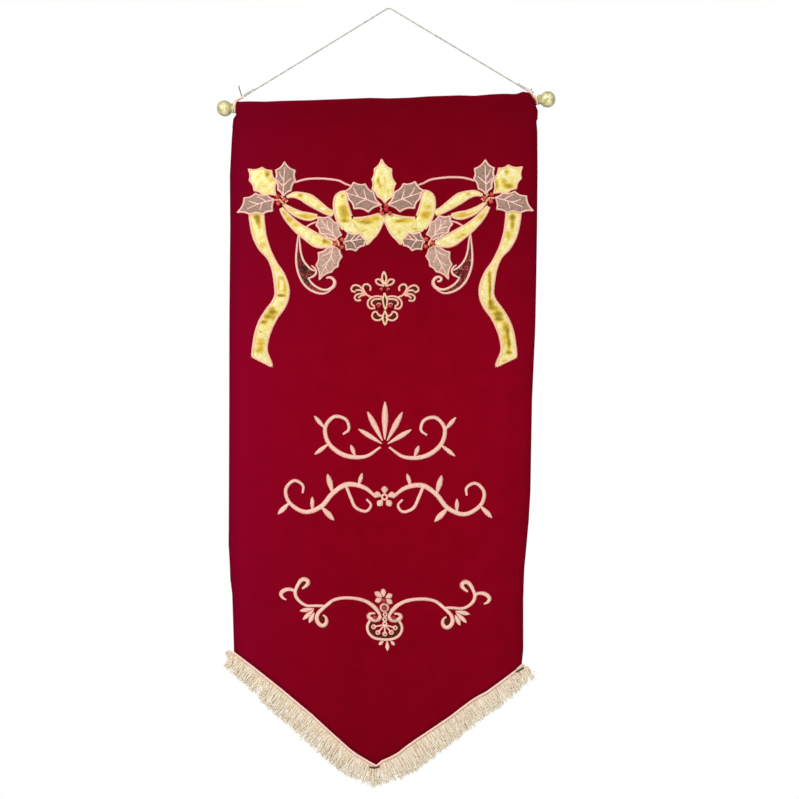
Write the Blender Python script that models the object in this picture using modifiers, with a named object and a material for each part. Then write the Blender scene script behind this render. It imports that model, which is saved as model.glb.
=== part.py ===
"""Christmas banner: a red velvet pennant on a dowel with ball finials, hung by a cord from one point.

Metres, +Z up, the front faces -Y. The origin is the hang point, under the cord's bend. Inside the
file every size is measured from the cloth's middle line and from the top of its rod pocket, and the
empty "banner" carries that frame to its place under the hang point.
"""

import math

import bmesh
import bpy
import numpy as np
from mathutils import Matrix, Vector

MM = 0.001
WELD = 1e-6
FINE_STEPS = 12
SHARP_ANGLE = math.radians(50)

# Hang point, measured from the cloth's middle line and the pocket's top
HANG_SIDE = 0.0034
HANG_RISE = 0.1339

# Clearances
GAP = 0.0003
EDGE_GAP = 0.0004

# Cloth
CLOTH_THICKNESS = 0.0015
COLUMNS = 24
FALL_ROWS = 27
HUMP_COLUMNS = (0.937, 0.979)
TOP_HUMP_SIDE = 0.203
TOP_HUMP_HEIGHT = 0.0048
TOP_HUMP_WIDTH = 0.010

# Soft hang of the cloth out of its plane: it starts below the pocket and grows to the tip
WAVE_START = 0.045
WAVE_REACH = 0.90
BROAD_WAVE_HEIGHT = 0.0028
BROAD_WAVE_LENGTH = 0.30
BROAD_WAVE_SHIFT = 0.7
NARROW_WAVE_HEIGHT = 0.0010
NARROW_WAVE_LENGTH = 0.14
NARROW_WAVE_SHIFT = -1.9
NARROW_WAVE_SLANT = 2.5

# Rod and its pocket
ROD_RADIUS = 0.005
ROD_TILT = math.radians(1.34)
ROD_SIDES = 16
POCKET_EASE = 0.0006
POCKET_DEPTH = 0.039
FLAP_TAIL = 0.006
POCKET_CREASES = (0.024, 0.018)
POCKET_ARC_ROWS = 9
SEAM_HEIGHT = 0.002
POCKET_OUTSIDE = ROD_RADIUS + POCKET_EASE + CLOTH_THICKNESS

# Finials
BALL_RADIUS = 0.0119
BALL_ROWS = 8
BALL_CENTRE_LEFT = -0.2473
BALL_CENTRE_RIGHT = 0.2457
COLLAR_REACH = 0.0158
NECK_RADIUS = 0.0063
SOCKET_DEPTH = 0.010
SOCKET_EASE = 0.0004

# Hanging cord and its ties
CORD_RADIUS = 0.00115
TIE_RADIUS = 0.0011
KNOT_RADIUS = 0.0027
NAIL_BEND = 0.008
CORD_SLOPE = math.radians(30.4)
CORD_POINTS = 79
CORD_STATIONS = (0.0, 0.3, 0.6, 0.85, 0.96, 1.0)
LOOP_POINTS = 15
LOOP_NECK_WIDTH = 0.4
LOOP_NECK_HEIGHT = 0.6
FREE_END_POINTS = 7
FREE_END_LEAN = 0.08
FREE_END_RADIUS = 0.0009

TIES = {
    # side, where the loop hugs the rod, where its knot sits, the knot's height, the free end's way
    "left": (-0.2300, -0.2213, 0.0155, (-0.0015, -0.0030, -0.0050), (0.006, 0.012, 0.0175)),
    "right": (0.2282, 0.2185, 0.0115, (0.0015, 0.0030, 0.0045), (0.0015, 0.0030, 0.0040)),
}

# Fringe
HEADING_DEPTH = 0.0062
HEADING_THICKNESS = 0.0022
STRANDS = 96
STRAND_SIDES = 4
STRAND_ROOT_RADIUS = 0.0010
STRAND_TIP_RADIUS = 0.0005
STRAND_BITE = 0.002
STRAND_SWAY = 0.07
STRAND_SWAY_RATE = 23.0
PARTING_TURN = 0.17
PARTING_WIDTH = 0.055
RAGGED_CUT = ((0.0018, 12.9898), (0.0010, 3.7))
CURL_RADIUS = 0.0048
CURL_DROP = 0.6

FRINGE_SIDES = {
    # side, where the strands part, where the heading ends from the cloth's corner
    "left": (-1, 0.25, (-0.0055, -0.0015)),
    "right": (1, 0.21, (0.0110, -0.0030)),
}

FRINGE_DEPTH = (
    # share of the way from the outer end to the tip, depth on the left, depth on the right,
    # lean on the left, lean on the right, where 1 is square to the edge and 0 is plumb
    (0.00, 0.0300, 0.0260, 0.45, 0.80),
    (0.12, 0.0325, 0.0320, 0.85, 0.90),
    (0.20, 0.0340, 0.0350, 0.90, 0.90),
    (0.30, 0.0405, 0.0370, 0.90, 0.90),
    (0.55, 0.0425, 0.0390, 0.90, 0.90),
    (0.75, 0.0425, 0.0450, 0.90, 0.90),
    (0.87, 0.0420, 0.0435, 0.88, 0.88),
    (0.94, 0.0400, 0.0400, 0.60, 0.60),
    (1.00, 0.0370, 0.0370, 0.00, 0.00),
)

# Sewn-on pieces
PATCH_THICKNESS = 0.001
PATCH_GAP = 0.0004
BAND_STATIONS = 16
TAIL_STATIONS = 24
TAIL_CUT = 0.70
TAIL_CUT_ROWS = 4
CRESCENT_STATIONS = 24

# Side edges of the cloth, from the pocket's top downwards
SIDE_EDGES = (
    # depth, left edge, right edge
    (0.000, -0.2285, 0.2140),
    (0.005, -0.2285, 0.2215),
    (0.009, -0.2284, 0.2255),
    (0.018, -0.2282, 0.2262),
    (0.024, -0.2325, 0.2290),
    (0.036, -0.2335, 0.2290),
    (0.039, -0.2335, 0.2270),
    (0.046, -0.2345, 0.2285),
    (0.110, -0.2384, 0.2294),
    (0.190, -0.2386, 0.2290),
    (0.280, -0.2405, 0.2304),
    (0.350, -0.2410, 0.2295),
    (0.460, -0.2415, 0.2262),
    (0.600, -0.2420, 0.2252),
    (0.690, -0.2432, 0.2195),
    (0.770, -0.2395, 0.2178),
    (0.870, -0.2370, 0.2198),
)

# Bottom V of the cloth
V_EDGE = (
    # fraction across, depth below the pocket's top
    (0.000, 0.8618),
    (0.071, 0.8853),
    (0.176, 0.9230),
    (0.278, 0.9607),
    (0.369, 0.9986),
    (0.481, 1.0362),
    (0.500, 1.0425),
    (0.520, 1.0320),
    (0.634, 0.9952),
    (0.757, 0.9549),
    (0.877, 0.9149),
    (0.985, 0.8752),
    (1.000, 0.8663),
)

# Finial profile outside the ball
COLLAR_PROFILE = (
    # radius, distance out from the collar's inner face
    (0.0069, 0.0050),
    (0.0069, 0.0042),
    (0.0063, 0.0036),
    (0.0072, 0.0029),
    (0.0072, 0.0007),
    (0.0066, 0.0000),
)

# Half of a holly leaf's outline
LEAF_SIDE = (
    # share of the length from the tip, share of the half width
    (0.19, 0.72),
    (0.50, 1.00),
    (0.77, 0.76),
    (1.00, 0.10),
)
LEAF_HOLLOW = 0.13

# Holly leaves of the left half and the centre, in millimetres
LEAVES = (
    # name, tip x, tip z, base x, base z, half width on the two sides, layer, cloth, shift of its twin
    ("centre_gold", -5.0, -91.0, -1.5, -157.0, 20.0, 17.0, 1, "lame", 0.0),
    ("centre_side", -63.0, -140.0, -8.5, -161.5, 21.0, 17.5, 2, "organza", 0.0),
    ("top_gold", -212.0, -105.0, -169.5, -146.0, 21.0, 18.5, 1, "lame", -5.0),
    ("top_up", -155.0, -94.5, -156.0, -145.0, 19.0, 14.5, 2, "organza", -1.0),
    ("top_side", -228.5, -171.5, -171.5, -152.5, 17.0, 18.0, 2, "organza", -4.0),
    ("low_up", -103.0, -177.5, -73.0, -211.0, 15.5, 15.5, 2, "organza", 0.0),
    ("low_down", -100.5, -274.0, -76.0, -226.5, 16.5, 16.5, 2, "organza", 0.0),
    ("low_side", -29.5, -220.5, -61.0, -217.0, 13.0, 14.0, 2, "organza", 0.0),
)

# Ribbon bands of the left half, in millimetres, centre line and width
RIBBONS = {
    "upper": ((-152.0, -148.0, 3.0), (-141.0, -145.0, 8.0), (-130.0, -146.5, 11.5),
              (-117.0, -152.5, 16.0), (-101.0, -163.0, 13.0), (-90.5, -169.5, 9.5),
              (-82.5, -172.5, 7.0)),
    "middle": ((-157.5, -158.5, 3.0), (-144.0, -169.0, 8.5), (-130.0, -175.5, 10.0),
               (-116.5, -178.5, 10.5), (-105.5, -178.0, 6.0)),
    "lower": ((-163.0, -166.0, 4.0), (-156.0, -175.5, 7.0), (-147.5, -186.0, 9.5),
              (-134.0, -196.5, 13.0), (-119.0, -207.0, 16.5), (-104.5, -215.5, 19.0),
              (-92.0, -219.0, 16.5), (-80.0, -219.0, 6.0)),
    "tail": ((-199.0, -166.0, 22.5), (-198.0, -180.0, 22.3), (-194.7, -206.0, 19.7),
             (-187.4, -224.0, 14.2), (-177.5, -239.0, 8.0), (-169.7, -254.0, 8.2),
             (-163.5, -268.0, 14.2), (-158.5, -288.4, 20.4), (-159.6, -302.0, 20.4),
             (-164.2, -313.0, 20.4), (-176.0, -327.0, 19.7), (-186.0, -343.7, 21.0),
             (-192.6, -364.6, 20.4), (-193.7, -385.4, 21.7), (-188.5, -403.5, 29.5)),
    "side": ((-63.0, -139.0, 5.0), (-69.3, -149.4, 18.3), (-67.5, -162.5, 26.2),
             (-64.3, -175.6, 27.0), (-59.5, -187.5, 25.0), (-51.5, -200.0, 22.5),
             (-47.5, -206.0, 21.0)),
    "lobe": ((-4.5, -178.6, 4.0), (-9.3, -182.7, 15.8), (-19.0, -188.8, 27.0),
             (-28.5, -194.5, 37.5), (-37.3, -199.6, 43.5)),
}

# Sheer horn under the bow, in millimetres, centre line and width
CRESCENT = (
    (-133.0, -208.0, 2.6), (-134.5, -228.0, 6.5), (-133.0, -245.7, 9.6), (-127.8, -259.8, 16.0),
    (-119.7, -273.0, 13.1), (-108.0, -284.0, 9.6), (-97.4, -291.0, 6.5), (-88.5, -292.0, 5.5),
    (-80.0, -287.4, 4.6), (-76.5, -281.0, 3.8), (-79.0, -275.0, 3.2), (-85.0, -272.0, 2.4),
)

# Surfaces, with base colour, metallic value and roughness
LOOKS = {
    "velvet": ((0.23, 0.002, 0.012), 0.0, 0.85),
    "dowel_wood": ((0.62, 0.45, 0.26), 0.0, 0.55),
    "gold_paint": ((0.72, 0.62, 0.34), 0.8, 0.38),
    "cord": ((0.72, 0.66, 0.48), 0.0, 0.7),
    "fringe": ((0.80, 0.68, 0.50), 0.0, 0.75),
    "lame": ((0.85, 0.72, 0.22), 0.7, 0.35),
    "organza": ((0.40, 0.30, 0.26), 0.0, 0.6),
    "dark_sheer": ((0.10, 0.02, 0.02), 0.0, 0.5),
}


def clear_scene():
    """Take every object out of the file."""
    for item in list(bpy.data.objects):
        bpy.data.objects.remove(item, do_unlink=True)


def new_collection(name):
    """Collection under the scene's root."""
    group = bpy.data.collections.new(name)
    bpy.context.scene.collection.children.link(group)
    return group


def surface(name):
    """Principled material of that name, made once."""
    material = bpy.data.materials.get(name)
    if material is None:
        colour, metallic, roughness = LOOKS[name]
        material = bpy.data.materials.new(name)
        material.use_nodes = True
        shader = material.node_tree.nodes["Principled BSDF"]
        shader.inputs["Base Color"].default_value = (*colour, 1.0)
        shader.inputs["Metallic"].default_value = metallic
        shader.inputs["Roughness"].default_value = roughness
        material.diffuse_color = (*colour, 1.0)
    return material


def add_piece(name, data, look, parent):
    """Link a piece of the banner under its parent."""
    item = bpy.data.objects.new(name, data)
    item.data.materials.clear()
    item.data.materials.append(surface(look))
    item.parent = parent
    PARTS.objects.link(item)
    return item


def add_helper(name, data, parent):
    """Link a guide body that is joined into a piece and left out itself."""
    item = bpy.data.objects.new(name, data)
    item.parent = parent
    item.hide_render = True
    item.display_type = "WIRE"
    HELPERS.objects.link(item)
    return item


def add_empty(name, location, parent):
    """Empty that places a group of pieces."""
    item = bpy.data.objects.new(name, None)
    item.location = location
    item.parent = parent
    PARTS.objects.link(item)
    return item


def join_body(target, helper):
    """Union of a helper body into a piece."""
    union = target.modifiers.new("Join " + helper.name, "BOOLEAN")
    union.operation = "UNION"
    union.solver = "EXACT"
    union.object = helper


def thicken(item, thickness):
    """Cloth thickness, half on each side of the sheet."""
    solid = item.modifiers.new("Thickness", "SOLIDIFY")
    solid.thickness = thickness
    solid.offset = 0.0
    solid.use_even_offset = True


def round_off(mesh):
    """Shade a round mesh smooth, its sharp rims left sharp."""
    mesh.shade_smooth()
    mesh.set_sharp_from_angle(angle=SHARP_ANGLE)


def mesh_from_curve(curve, name):
    """Mesh of a curve, its caps welded on."""
    holder = bpy.data.objects.new(name, curve)
    HELPERS.objects.link(holder)
    graph = bpy.context.evaluated_depsgraph_get()
    mesh = bpy.data.meshes.new_from_object(holder.evaluated_get(graph))
    bpy.data.objects.remove(holder, do_unlink=True)
    body = bmesh.new()
    body.from_mesh(mesh)
    bmesh.ops.remove_doubles(body, verts=body.verts, dist=WELD)
    body.to_mesh(mesh)
    body.free()
    mesh.name = name
    round_off(mesh)
    return mesh


def tube_curve(name, points, radius, closed=False):
    """Round tube along a list of points."""
    curve = bpy.data.curves.new(name, "CURVE")
    curve.dimensions = "3D"
    curve.bevel_depth = radius
    curve.bevel_resolution = 2
    curve.use_fill_caps = not closed
    spline = curve.splines.new("POLY")
    spline.points.add(len(points) - 1)
    for knot, point in zip(spline.points, points):
        knot.co = (*point, 1.0)
    spline.use_cyclic_u = closed
    return curve


def smooth_line(stations, count):
    """Rows read evenly from a Catmull-Rom curve through rows of numbers of any length."""
    rows = np.array(stations, dtype=float)
    ends = np.vstack([2 * rows[0] - rows[1], rows, 2 * rows[-1] - rows[-2]])
    result = []
    for place in np.linspace(0.0, len(rows) - 1, count):
        step = min(int(place), len(rows) - 2)
        t = place - step
        before, start, end, after = ends[step:step + 4]
        result.append(0.5 * (2 * start + (end - before) * t
                             + (2 * before - 5 * start + 4 * end - after) * t ** 2
                             + (3 * start - before - 3 * end + after) * t ** 3))
    return np.array(result)


def even_line(stations, count):
    """The same smooth curve with its points spaced evenly along it."""
    fine = smooth_line(stations, count * FINE_STEPS)
    along = np.concatenate([[0.0], np.cumsum(np.linalg.norm(np.diff(fine, axis=0), axis=1))])
    places = np.linspace(0.0, along[-1], count)
    return np.array([np.interp(places, along, column) for column in fine.T]).T


def column_of(table, column, place):
    """Read one column of a table at a place in its first column."""
    rows = np.array(table)
    return float(np.interp(place, rows[:, 0], rows[:, column]))


def rod_rise(x):
    """Height that the tilted rod gains at a distance from the middle."""
    return x * math.tan(ROD_TILT)


def wave(x, z):
    """Soft hang of the cloth out of its plane, growing downwards."""
    fall = min(max((-z - WAVE_START) / WAVE_REACH, 0.0), 1.0)
    broad = math.sin(2 * math.pi * x / BROAD_WAVE_LENGTH + BROAD_WAVE_SHIFT)
    turn = 2 * math.pi * x / NARROW_WAVE_LENGTH + NARROW_WAVE_SHIFT + NARROW_WAVE_SLANT * z
    return fall * (BROAD_WAVE_HEIGHT * broad + NARROW_WAVE_HEIGHT * math.sin(turn))


def pocket_section():
    """Rows of the rod pocket, flap end first, as (y, height over the rod's axis)."""
    middle = ROD_RADIUS + POCKET_EASE + CLOTH_THICKNESS / 2
    seam = POCKET_OUTSIDE - POCKET_DEPTH
    behind = CLOTH_THICKNESS + GAP
    reach = math.pi - math.acos(middle / -seam)
    angles = np.linspace(reach, -reach, POCKET_ARC_ROWS)
    arc = [(middle * math.sin(a), middle * math.cos(a)) for a in angles]
    slack = [(POCKET_OUTSIDE - depth - seam) / (arc[0][1] - seam) for depth in POCKET_CREASES]
    rows = [(behind, seam - FLAP_TAIL), (behind, seam)]
    rows += [(behind + (arc[0][0] - behind) * s, seam + (arc[0][1] - seam) * s) for s in slack]
    rows += arc
    rows += [(arc[-1][0] * s, seam + (arc[-1][1] - seam) * s) for s in reversed(slack)]
    return rows


def cloth_columns():
    """Fractions across the cloth, closer together at the hump of the pocket."""
    even = [step / COLUMNS for step in range(COLUMNS + 1)]
    return sorted(even + list(HUMP_COLUMNS))


def pocket_point(across, y, height):
    """Point of the pocket at a fraction across, lifted at the hump near the right knot."""
    depth = min(max(POCKET_OUTSIDE - height, 0.0), POCKET_DEPTH)
    left = column_of(SIDE_EDGES, 1, depth)
    right = column_of(SIDE_EDGES, 2, depth)
    x = left + (right - left) * across
    crown = max(height, 0.0) / POCKET_OUTSIDE
    hump = TOP_HUMP_HEIGHT * math.exp(-((x - TOP_HUMP_SIDE) / TOP_HUMP_WIDTH) ** 2)
    return Vector((x, y, rod_rise(x) - POCKET_OUTSIDE + height + crown * hump))


def fall_point(across, down):
    """Point of the hanging cloth, from the pocket's seam (0) to the V edge (1)."""
    seam_x = pocket_point(across, 0.0, POCKET_OUTSIDE - POCKET_DEPTH).x
    seam_z = rod_rise(seam_x) - POCKET_DEPTH
    z = seam_z + (-column_of(V_EDGE, 1, across) - seam_z) * down
    depth = -z + rod_rise(seam_x) * (1 - down)
    left = column_of(SIDE_EDGES, 1, depth)
    right = column_of(SIDE_EDGES, 2, depth)
    x = left + (right - left) * across
    return Vector((x, wave(x, z), z))


def build_panel(banner):
    """Velvet pennant with its rod pocket, one sheet that folds over the rod and is sewn behind."""
    columns = cloth_columns()
    section = pocket_section()
    rows = len(section) + FALL_ROWS + 1
    body = bmesh.new()
    bmesh.ops.create_grid(body, x_segments=len(columns) - 1, y_segments=rows - 1, size=0.5)
    for vert in body.verts:
        column = round((vert.co.x + 0.5) * (len(columns) - 1))
        row = round((vert.co.y + 0.5) * (rows - 1))
        if row < len(section):
            vert.co = pocket_point(columns[column], *section[row])
        else:
            vert.co = fall_point(columns[column], (row - len(section)) / FALL_ROWS)
    mesh = bpy.data.meshes.new("panel")
    body.to_mesh(mesh)
    body.free()
    panel = add_piece("panel", mesh, "velvet", banner)
    thicken(panel, CLOTH_THICKNESS)
    left = pocket_point(0.0, 0.0, POCKET_OUTSIDE - POCKET_DEPTH)
    right = pocket_point(1.0, 0.0, POCKET_OUTSIDE - POCKET_DEPTH)
    seam = bpy.data.meshes.new("pocket_seam")
    body = bmesh.new()
    bmesh.ops.create_cube(body, size=1.0)
    length = (right - left).length - 2 * CLOTH_THICKNESS
    depth = CLOTH_THICKNESS + GAP
    bmesh.ops.scale(body, vec=(length, depth, SEAM_HEIGHT), verts=body.verts)
    body.to_mesh(seam)
    body.free()
    bar = add_helper("pocket_seam", seam, banner)
    bar.location = (left + right) / 2 + Vector((0.0, depth / 2, 0.0))
    bar.rotation_euler = (0.0, -ROD_TILT, 0.0)
    join_body(panel, bar)
    return panel


def build_rod(rod_axis):
    """Plain dowel between the bottoms of the finials' sockets."""
    left = BALL_CENTRE_LEFT + COLLAR_REACH - SOCKET_DEPTH + GAP
    right = BALL_CENTRE_RIGHT - COLLAR_REACH + SOCKET_DEPTH - GAP
    body = bmesh.new()
    bmesh.ops.create_cone(body, cap_ends=True, segments=ROD_SIDES, radius1=ROD_RADIUS,
                          radius2=ROD_RADIUS, depth=right - left)
    mesh = bpy.data.meshes.new("rod")
    body.to_mesh(mesh)
    body.free()
    round_off(mesh)
    rod = add_piece("rod", mesh, "dowel_wood", rod_axis)
    rod.location = ((left + right) / 2, 0.0, 0.0)
    rod.rotation_euler = (0.0, math.pi / 2, 0.0)
    return rod


def finial_profile():
    """Half outline of a finial from the ball's pole down its outside and up the socket."""
    last = math.pi - math.asin(NECK_RADIUS / BALL_RADIUS)
    ball = [(BALL_RADIUS * math.sin(a), COLLAR_REACH + BALL_RADIUS * math.cos(a))
            for a in np.linspace(0.0, last, BALL_ROWS)]
    ball[0] = (0.0, ball[0][1])
    socket = ROD_RADIUS + SOCKET_EASE
    bore = [(socket, 0.0), (socket, SOCKET_DEPTH), (0.0, SOCKET_DEPTH)]
    return ball + list(COLLAR_PROFILE) + bore


def build_finial(name, face, outwards, rod_axis):
    """Turned ball finial with its collar, bored to take the rod's end."""
    mesh = bpy.data.meshes.new(name)
    profile = [(radius, 0.0, reach) for radius, reach in finial_profile()]
    mesh.from_pydata(profile, [(i, i + 1) for i in range(len(profile) - 1)], [])
    finial = add_piece(name, mesh, "gold_paint", rod_axis)
    finial.location = (face, 0.0, 0.0)
    finial.rotation_euler = (0.0, outwards * math.pi / 2, 0.0)
    screw = finial.modifiers.new("Turn", "SCREW")
    screw.steps = ROD_SIDES
    screw.render_steps = ROD_SIDES
    screw.use_merge_vertices = True
    screw.merge_threshold = WELD
    return finial


def tie_loop(side, knot_side, knot_height):
    """Closed route of the cord's loop, round the rod below and drawn in to the knot above."""
    hugging = POCKET_OUTSIDE + GAP + TIE_RADIUS
    lift = hugging - (ROD_RADIUS + GAP + TIE_RADIUS)
    opening = math.acos(hugging / (knot_height - lift))
    route = []
    for angle in np.linspace(math.pi * 2 - opening, opening, LOOP_POINTS):
        route.append((hugging * math.sin(angle), lift + hugging * math.cos(angle)))
    shoulder_y, shoulder_height = route[-1]
    neck_height = shoulder_height + (knot_height - shoulder_height) * LOOP_NECK_HEIGHT
    route.append((shoulder_y * LOOP_NECK_WIDTH, neck_height))
    route.append((0.0, knot_height))
    route.append((-shoulder_y * LOOP_NECK_WIDTH, neck_height))
    points = []
    for y, height in route:
        share = max(height, 0.0) / knot_height
        points.append((side + (knot_side - side) * share, y, height))
    return points


def build_tie(name, side, knot_side, knot_height, end_sides, end_heights, rod_axis):
    """Loop of cord round the rod's end with its knot and free end."""
    steps = zip(end_sides, end_heights)
    tail = [(knot_side, 0.0, knot_height)]
    tail += [(knot_side + across, -up * FREE_END_LEAN, knot_height + up) for across, up in steps]
    loop = tube_curve(name, tie_loop(side, knot_side, knot_height), TIE_RADIUS, closed=True)
    tie = add_piece(name, mesh_from_curve(loop, name), "cord", rod_axis)
    knot = add_helper(name + "_knot", small_ball(name + "_knot", KNOT_RADIUS), rod_axis)
    knot.location = (knot_side, 0.0, knot_height)
    join_body(tie, knot)
    free_end = tube_curve(name + "_end", smooth_line(tail, FREE_END_POINTS), FREE_END_RADIUS)
    end = add_helper(name + "_end", mesh_from_curve(free_end, name + "_end"), rod_axis)
    join_body(tie, end)
    return tie


def build_cord(left_knot, right_knot, banner):
    """Hanging cord, taut from knot to knot over the nail."""
    top = Vector((HANG_SIDE, 0.0, HANG_RISE + CORD_RADIUS))
    peak = top + Vector((0.0, 0.0, NAIL_BEND / math.cos(CORD_SLOPE) - NAIL_BEND))
    halves = []
    for knot in (left_knot, right_knot):
        pull = (peak - knot).normalized()
        start = knot + pull * (KNOT_RADIUS + GAP)
        shoulder = peak - pull * NAIL_BEND * math.tan(CORD_SLOPE)
        halves.append([start.lerp(shoulder, share) for share in CORD_STATIONS])
    points = even_line(halves[0] + [top] + halves[1][::-1], CORD_POINTS)
    curve = tube_curve("hanging_cord", points, CORD_RADIUS)
    return add_piece("hanging_cord", curve, "cord", banner)


def v_line(outwards, end):
    """One side of the V edge from the heading's outer end to the tip, and the way square to it."""
    fractions = [f for f in cloth_columns() if (f - 0.5) * outwards >= 0.0]
    line = [fall_point(f, 1.0) for f in sorted(fractions, key=lambda f: -abs(f - 0.5))]
    edge = (line[0] - line[-1]).normalized()
    outer = line[0] + Vector((end[0], 0.0, end[1]))
    line[-1].x += outwards * EDGE_GAP
    return [outer] + line, Vector((outwards * edge.z, 0.0, -abs(edge.x))).normalized()


def strand_heading(share, outwards, slope, parting):
    """Direction of a strand: square to the edge, plumb near the tip, parted at one place."""
    lean = column_of(FRINGE_DEPTH, 3 if outwards < 0 else 4, share)
    turn = slope * lean * (1.0 + STRAND_SWAY * math.sin(share * STRAND_SWAY_RATE))
    apart = math.exp(-((share - parting) / PARTING_WIDTH) ** 2)
    turn += math.copysign(PARTING_TURN, parting - share) * apart
    return Vector((outwards * math.sin(turn), 0.0, -math.cos(turn)))


def strand_length(share, order, outwards):
    """Length of a strand below the V edge, ragged where it was cut."""
    ragged = sum(height * math.sin(order * rate) for height, rate in RAGGED_CUT)
    return column_of(FRINGE_DEPTH, 1 if outwards < 0 else 2, share) + ragged


def small_ball(name, radius):
    """Faceted ball for knots and curls."""
    body = bmesh.new()
    bmesh.ops.create_uvsphere(body, u_segments=10, v_segments=7, radius=radius)
    mesh = bpy.data.meshes.new(name)
    body.to_mesh(mesh)
    body.free()
    round_off(mesh)
    return mesh


def heading_strip(line, down):
    """Sheet of the fringe's heading, along the V edge and mitred at the tip."""
    body = bmesh.new()
    bmesh.ops.create_grid(body, x_segments=len(line) - 1, y_segments=1, size=0.5)
    for vert in body.verts:
        step = round((vert.co.x + 0.5) * (len(line) - 1))
        drop = EDGE_GAP if vert.co.y < 0 else EDGE_GAP + HEADING_DEPTH
        place = line[step] + down * drop
        if step == len(line) - 1:
            place.x = line[step].x
            place.z = line[step].z - drop / abs(down.z)
        vert.co = place
    mesh = bpy.data.meshes.new("heading")
    body.to_mesh(mesh)
    body.free()
    return mesh


def fringe_strands(line, down, outwards, parting):
    """Cut strands, four-sided and tapering, their roots inside the heading."""
    places = np.array([tuple(point) for point in line])
    lengths = np.concatenate([[0.0], np.cumsum(np.linalg.norm(np.diff(places, axis=0), axis=1))])
    slope = math.asin(abs(down.x))
    body = bmesh.new()
    for order in range(STRANDS):
        share = (order + 0.5) / STRANDS
        along = share * lengths[-1]
        edge = Vector([float(np.interp(along, lengths, places[:, axis])) for axis in range(3)])
        heading = strand_heading(share, outwards, slope, parting)
        root = edge + down * (EDGE_GAP + HEADING_DEPTH - STRAND_BITE)
        length = strand_length(share, order, outwards) - (HEADING_DEPTH - STRAND_BITE)
        middle = root + heading * length / 2
        turn = Vector((0.0, 0.0, -1.0)).rotation_difference(heading).to_matrix().to_4x4()
        bmesh.ops.create_cone(body, cap_ends=True, segments=STRAND_SIDES,
                              radius1=STRAND_TIP_RADIUS, radius2=STRAND_ROOT_RADIUS,
                              depth=length, matrix=Matrix.Translation(middle) @ turn)
    mesh = bpy.data.meshes.new("strands")
    body.to_mesh(mesh)
    body.free()
    return mesh


def build_fringe(name, outwards, parting, end, banner):
    """Cut fringe along one side of the V, with the curl at its outer end."""
    line, down = v_line(outwards, end)
    fringe = add_piece(name, heading_strip(line, down), "fringe", banner)
    thicken(fringe, HEADING_THICKNESS)
    strands = fringe_strands(line, down, outwards, parting)
    join_body(fringe, add_helper(name + "_strands", strands, banner))
    curl = add_helper(name + "_curl", small_ball(name + "_curl", CURL_RADIUS), banner)
    curl.location = line[0] + down * (EDGE_GAP + HEADING_DEPTH * CURL_DROP)
    join_body(fringe, curl)
    return fringe


def layer_y(x, z, layer):
    """Middle plane of a sewn-on piece in its layer over the cloth's face."""
    lift = CLOTH_THICKNESS / 2 + PATCH_GAP + PATCH_THICKNESS / 2
    return wave(x, z) - lift - (layer - 1) * (PATCH_THICKNESS + PATCH_GAP)


def leaf_outline(tip, base, wide_left, wide_right):
    """Holly outline, its edge hollowed between the points."""
    along = base - tip
    across = Vector((-along.y, along.x)).normalized()
    row = []
    last = (0.0, 0.0)
    for share, width in LEAF_SIDE:
        row.append(((last[0] + share) / 2, (last[1] + width) / 2 - LEAF_HOLLOW))
        row.append((share, width))
        last = (share, width)
    sides = [[tip + along * s + across * wide * w for s, w in row] for wide in (wide_left, -wide_right)]
    return [tip] + sides[0] + sides[1][::-1]


def build_leaf(name, tip, base, wide_left, wide_right, layer, look, banner):
    """Holly leaf, a flat outline laid on the cloth's hang."""
    outline = leaf_outline(Vector(tip), Vector(base), wide_left, wide_right)
    curve = bpy.data.curves.new(name, "CURVE")
    curve.dimensions = "2D"
    curve.fill_mode = "BOTH"
    curve.extrude = PATCH_THICKNESS / 2
    spline = curve.splines.new("POLY")
    spline.points.add(len(outline) - 1)
    for knot, point in zip(spline.points, outline):
        knot.co = (point.x, point.y, 0.0, 1.0)
    spline.use_cyclic_u = True
    mesh = mesh_from_curve(curve, name)
    for vert in mesh.vertices:
        x, z, out = vert.co
        vert.co = (x, layer_y(x, z, layer) - out, z)
    return add_piece(name, mesh, look, banner)


def build_band(name, stations, count, cut, look, banner):
    """Ribbon or horn, a strip that widens and narrows along its line, its end cut at a slant."""
    line = smooth_line(stations, count)
    body = bmesh.new()
    bmesh.ops.create_grid(body, x_segments=count - 1, y_segments=1, size=0.5)
    for vert in body.verts:
        step = round((vert.co.x + 0.5) * (count - 1))
        ahead = line[min(step + 1, count - 1)] - line[max(step - 1, 0)]
        along = Vector((ahead[0], ahead[1])).normalized()
        reach = line[step][2] / 2 * (1 if vert.co.y > 0 else -1)
        slant = cut * max(0.0, 1.0 - (count - 1 - step) / TAIL_CUT_ROWS)
        x = line[step][0] + (along.x * slant - along.y) * reach
        z = line[step][1] + (along.y * slant + along.x) * reach
        vert.co = (x, layer_y(x, z, 1), z)
    mesh = bpy.data.meshes.new(name)
    body.to_mesh(mesh)
    body.free()
    band = add_piece(name, mesh, look, banner)
    thicken(band, PATCH_THICKNESS)
    return band


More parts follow.
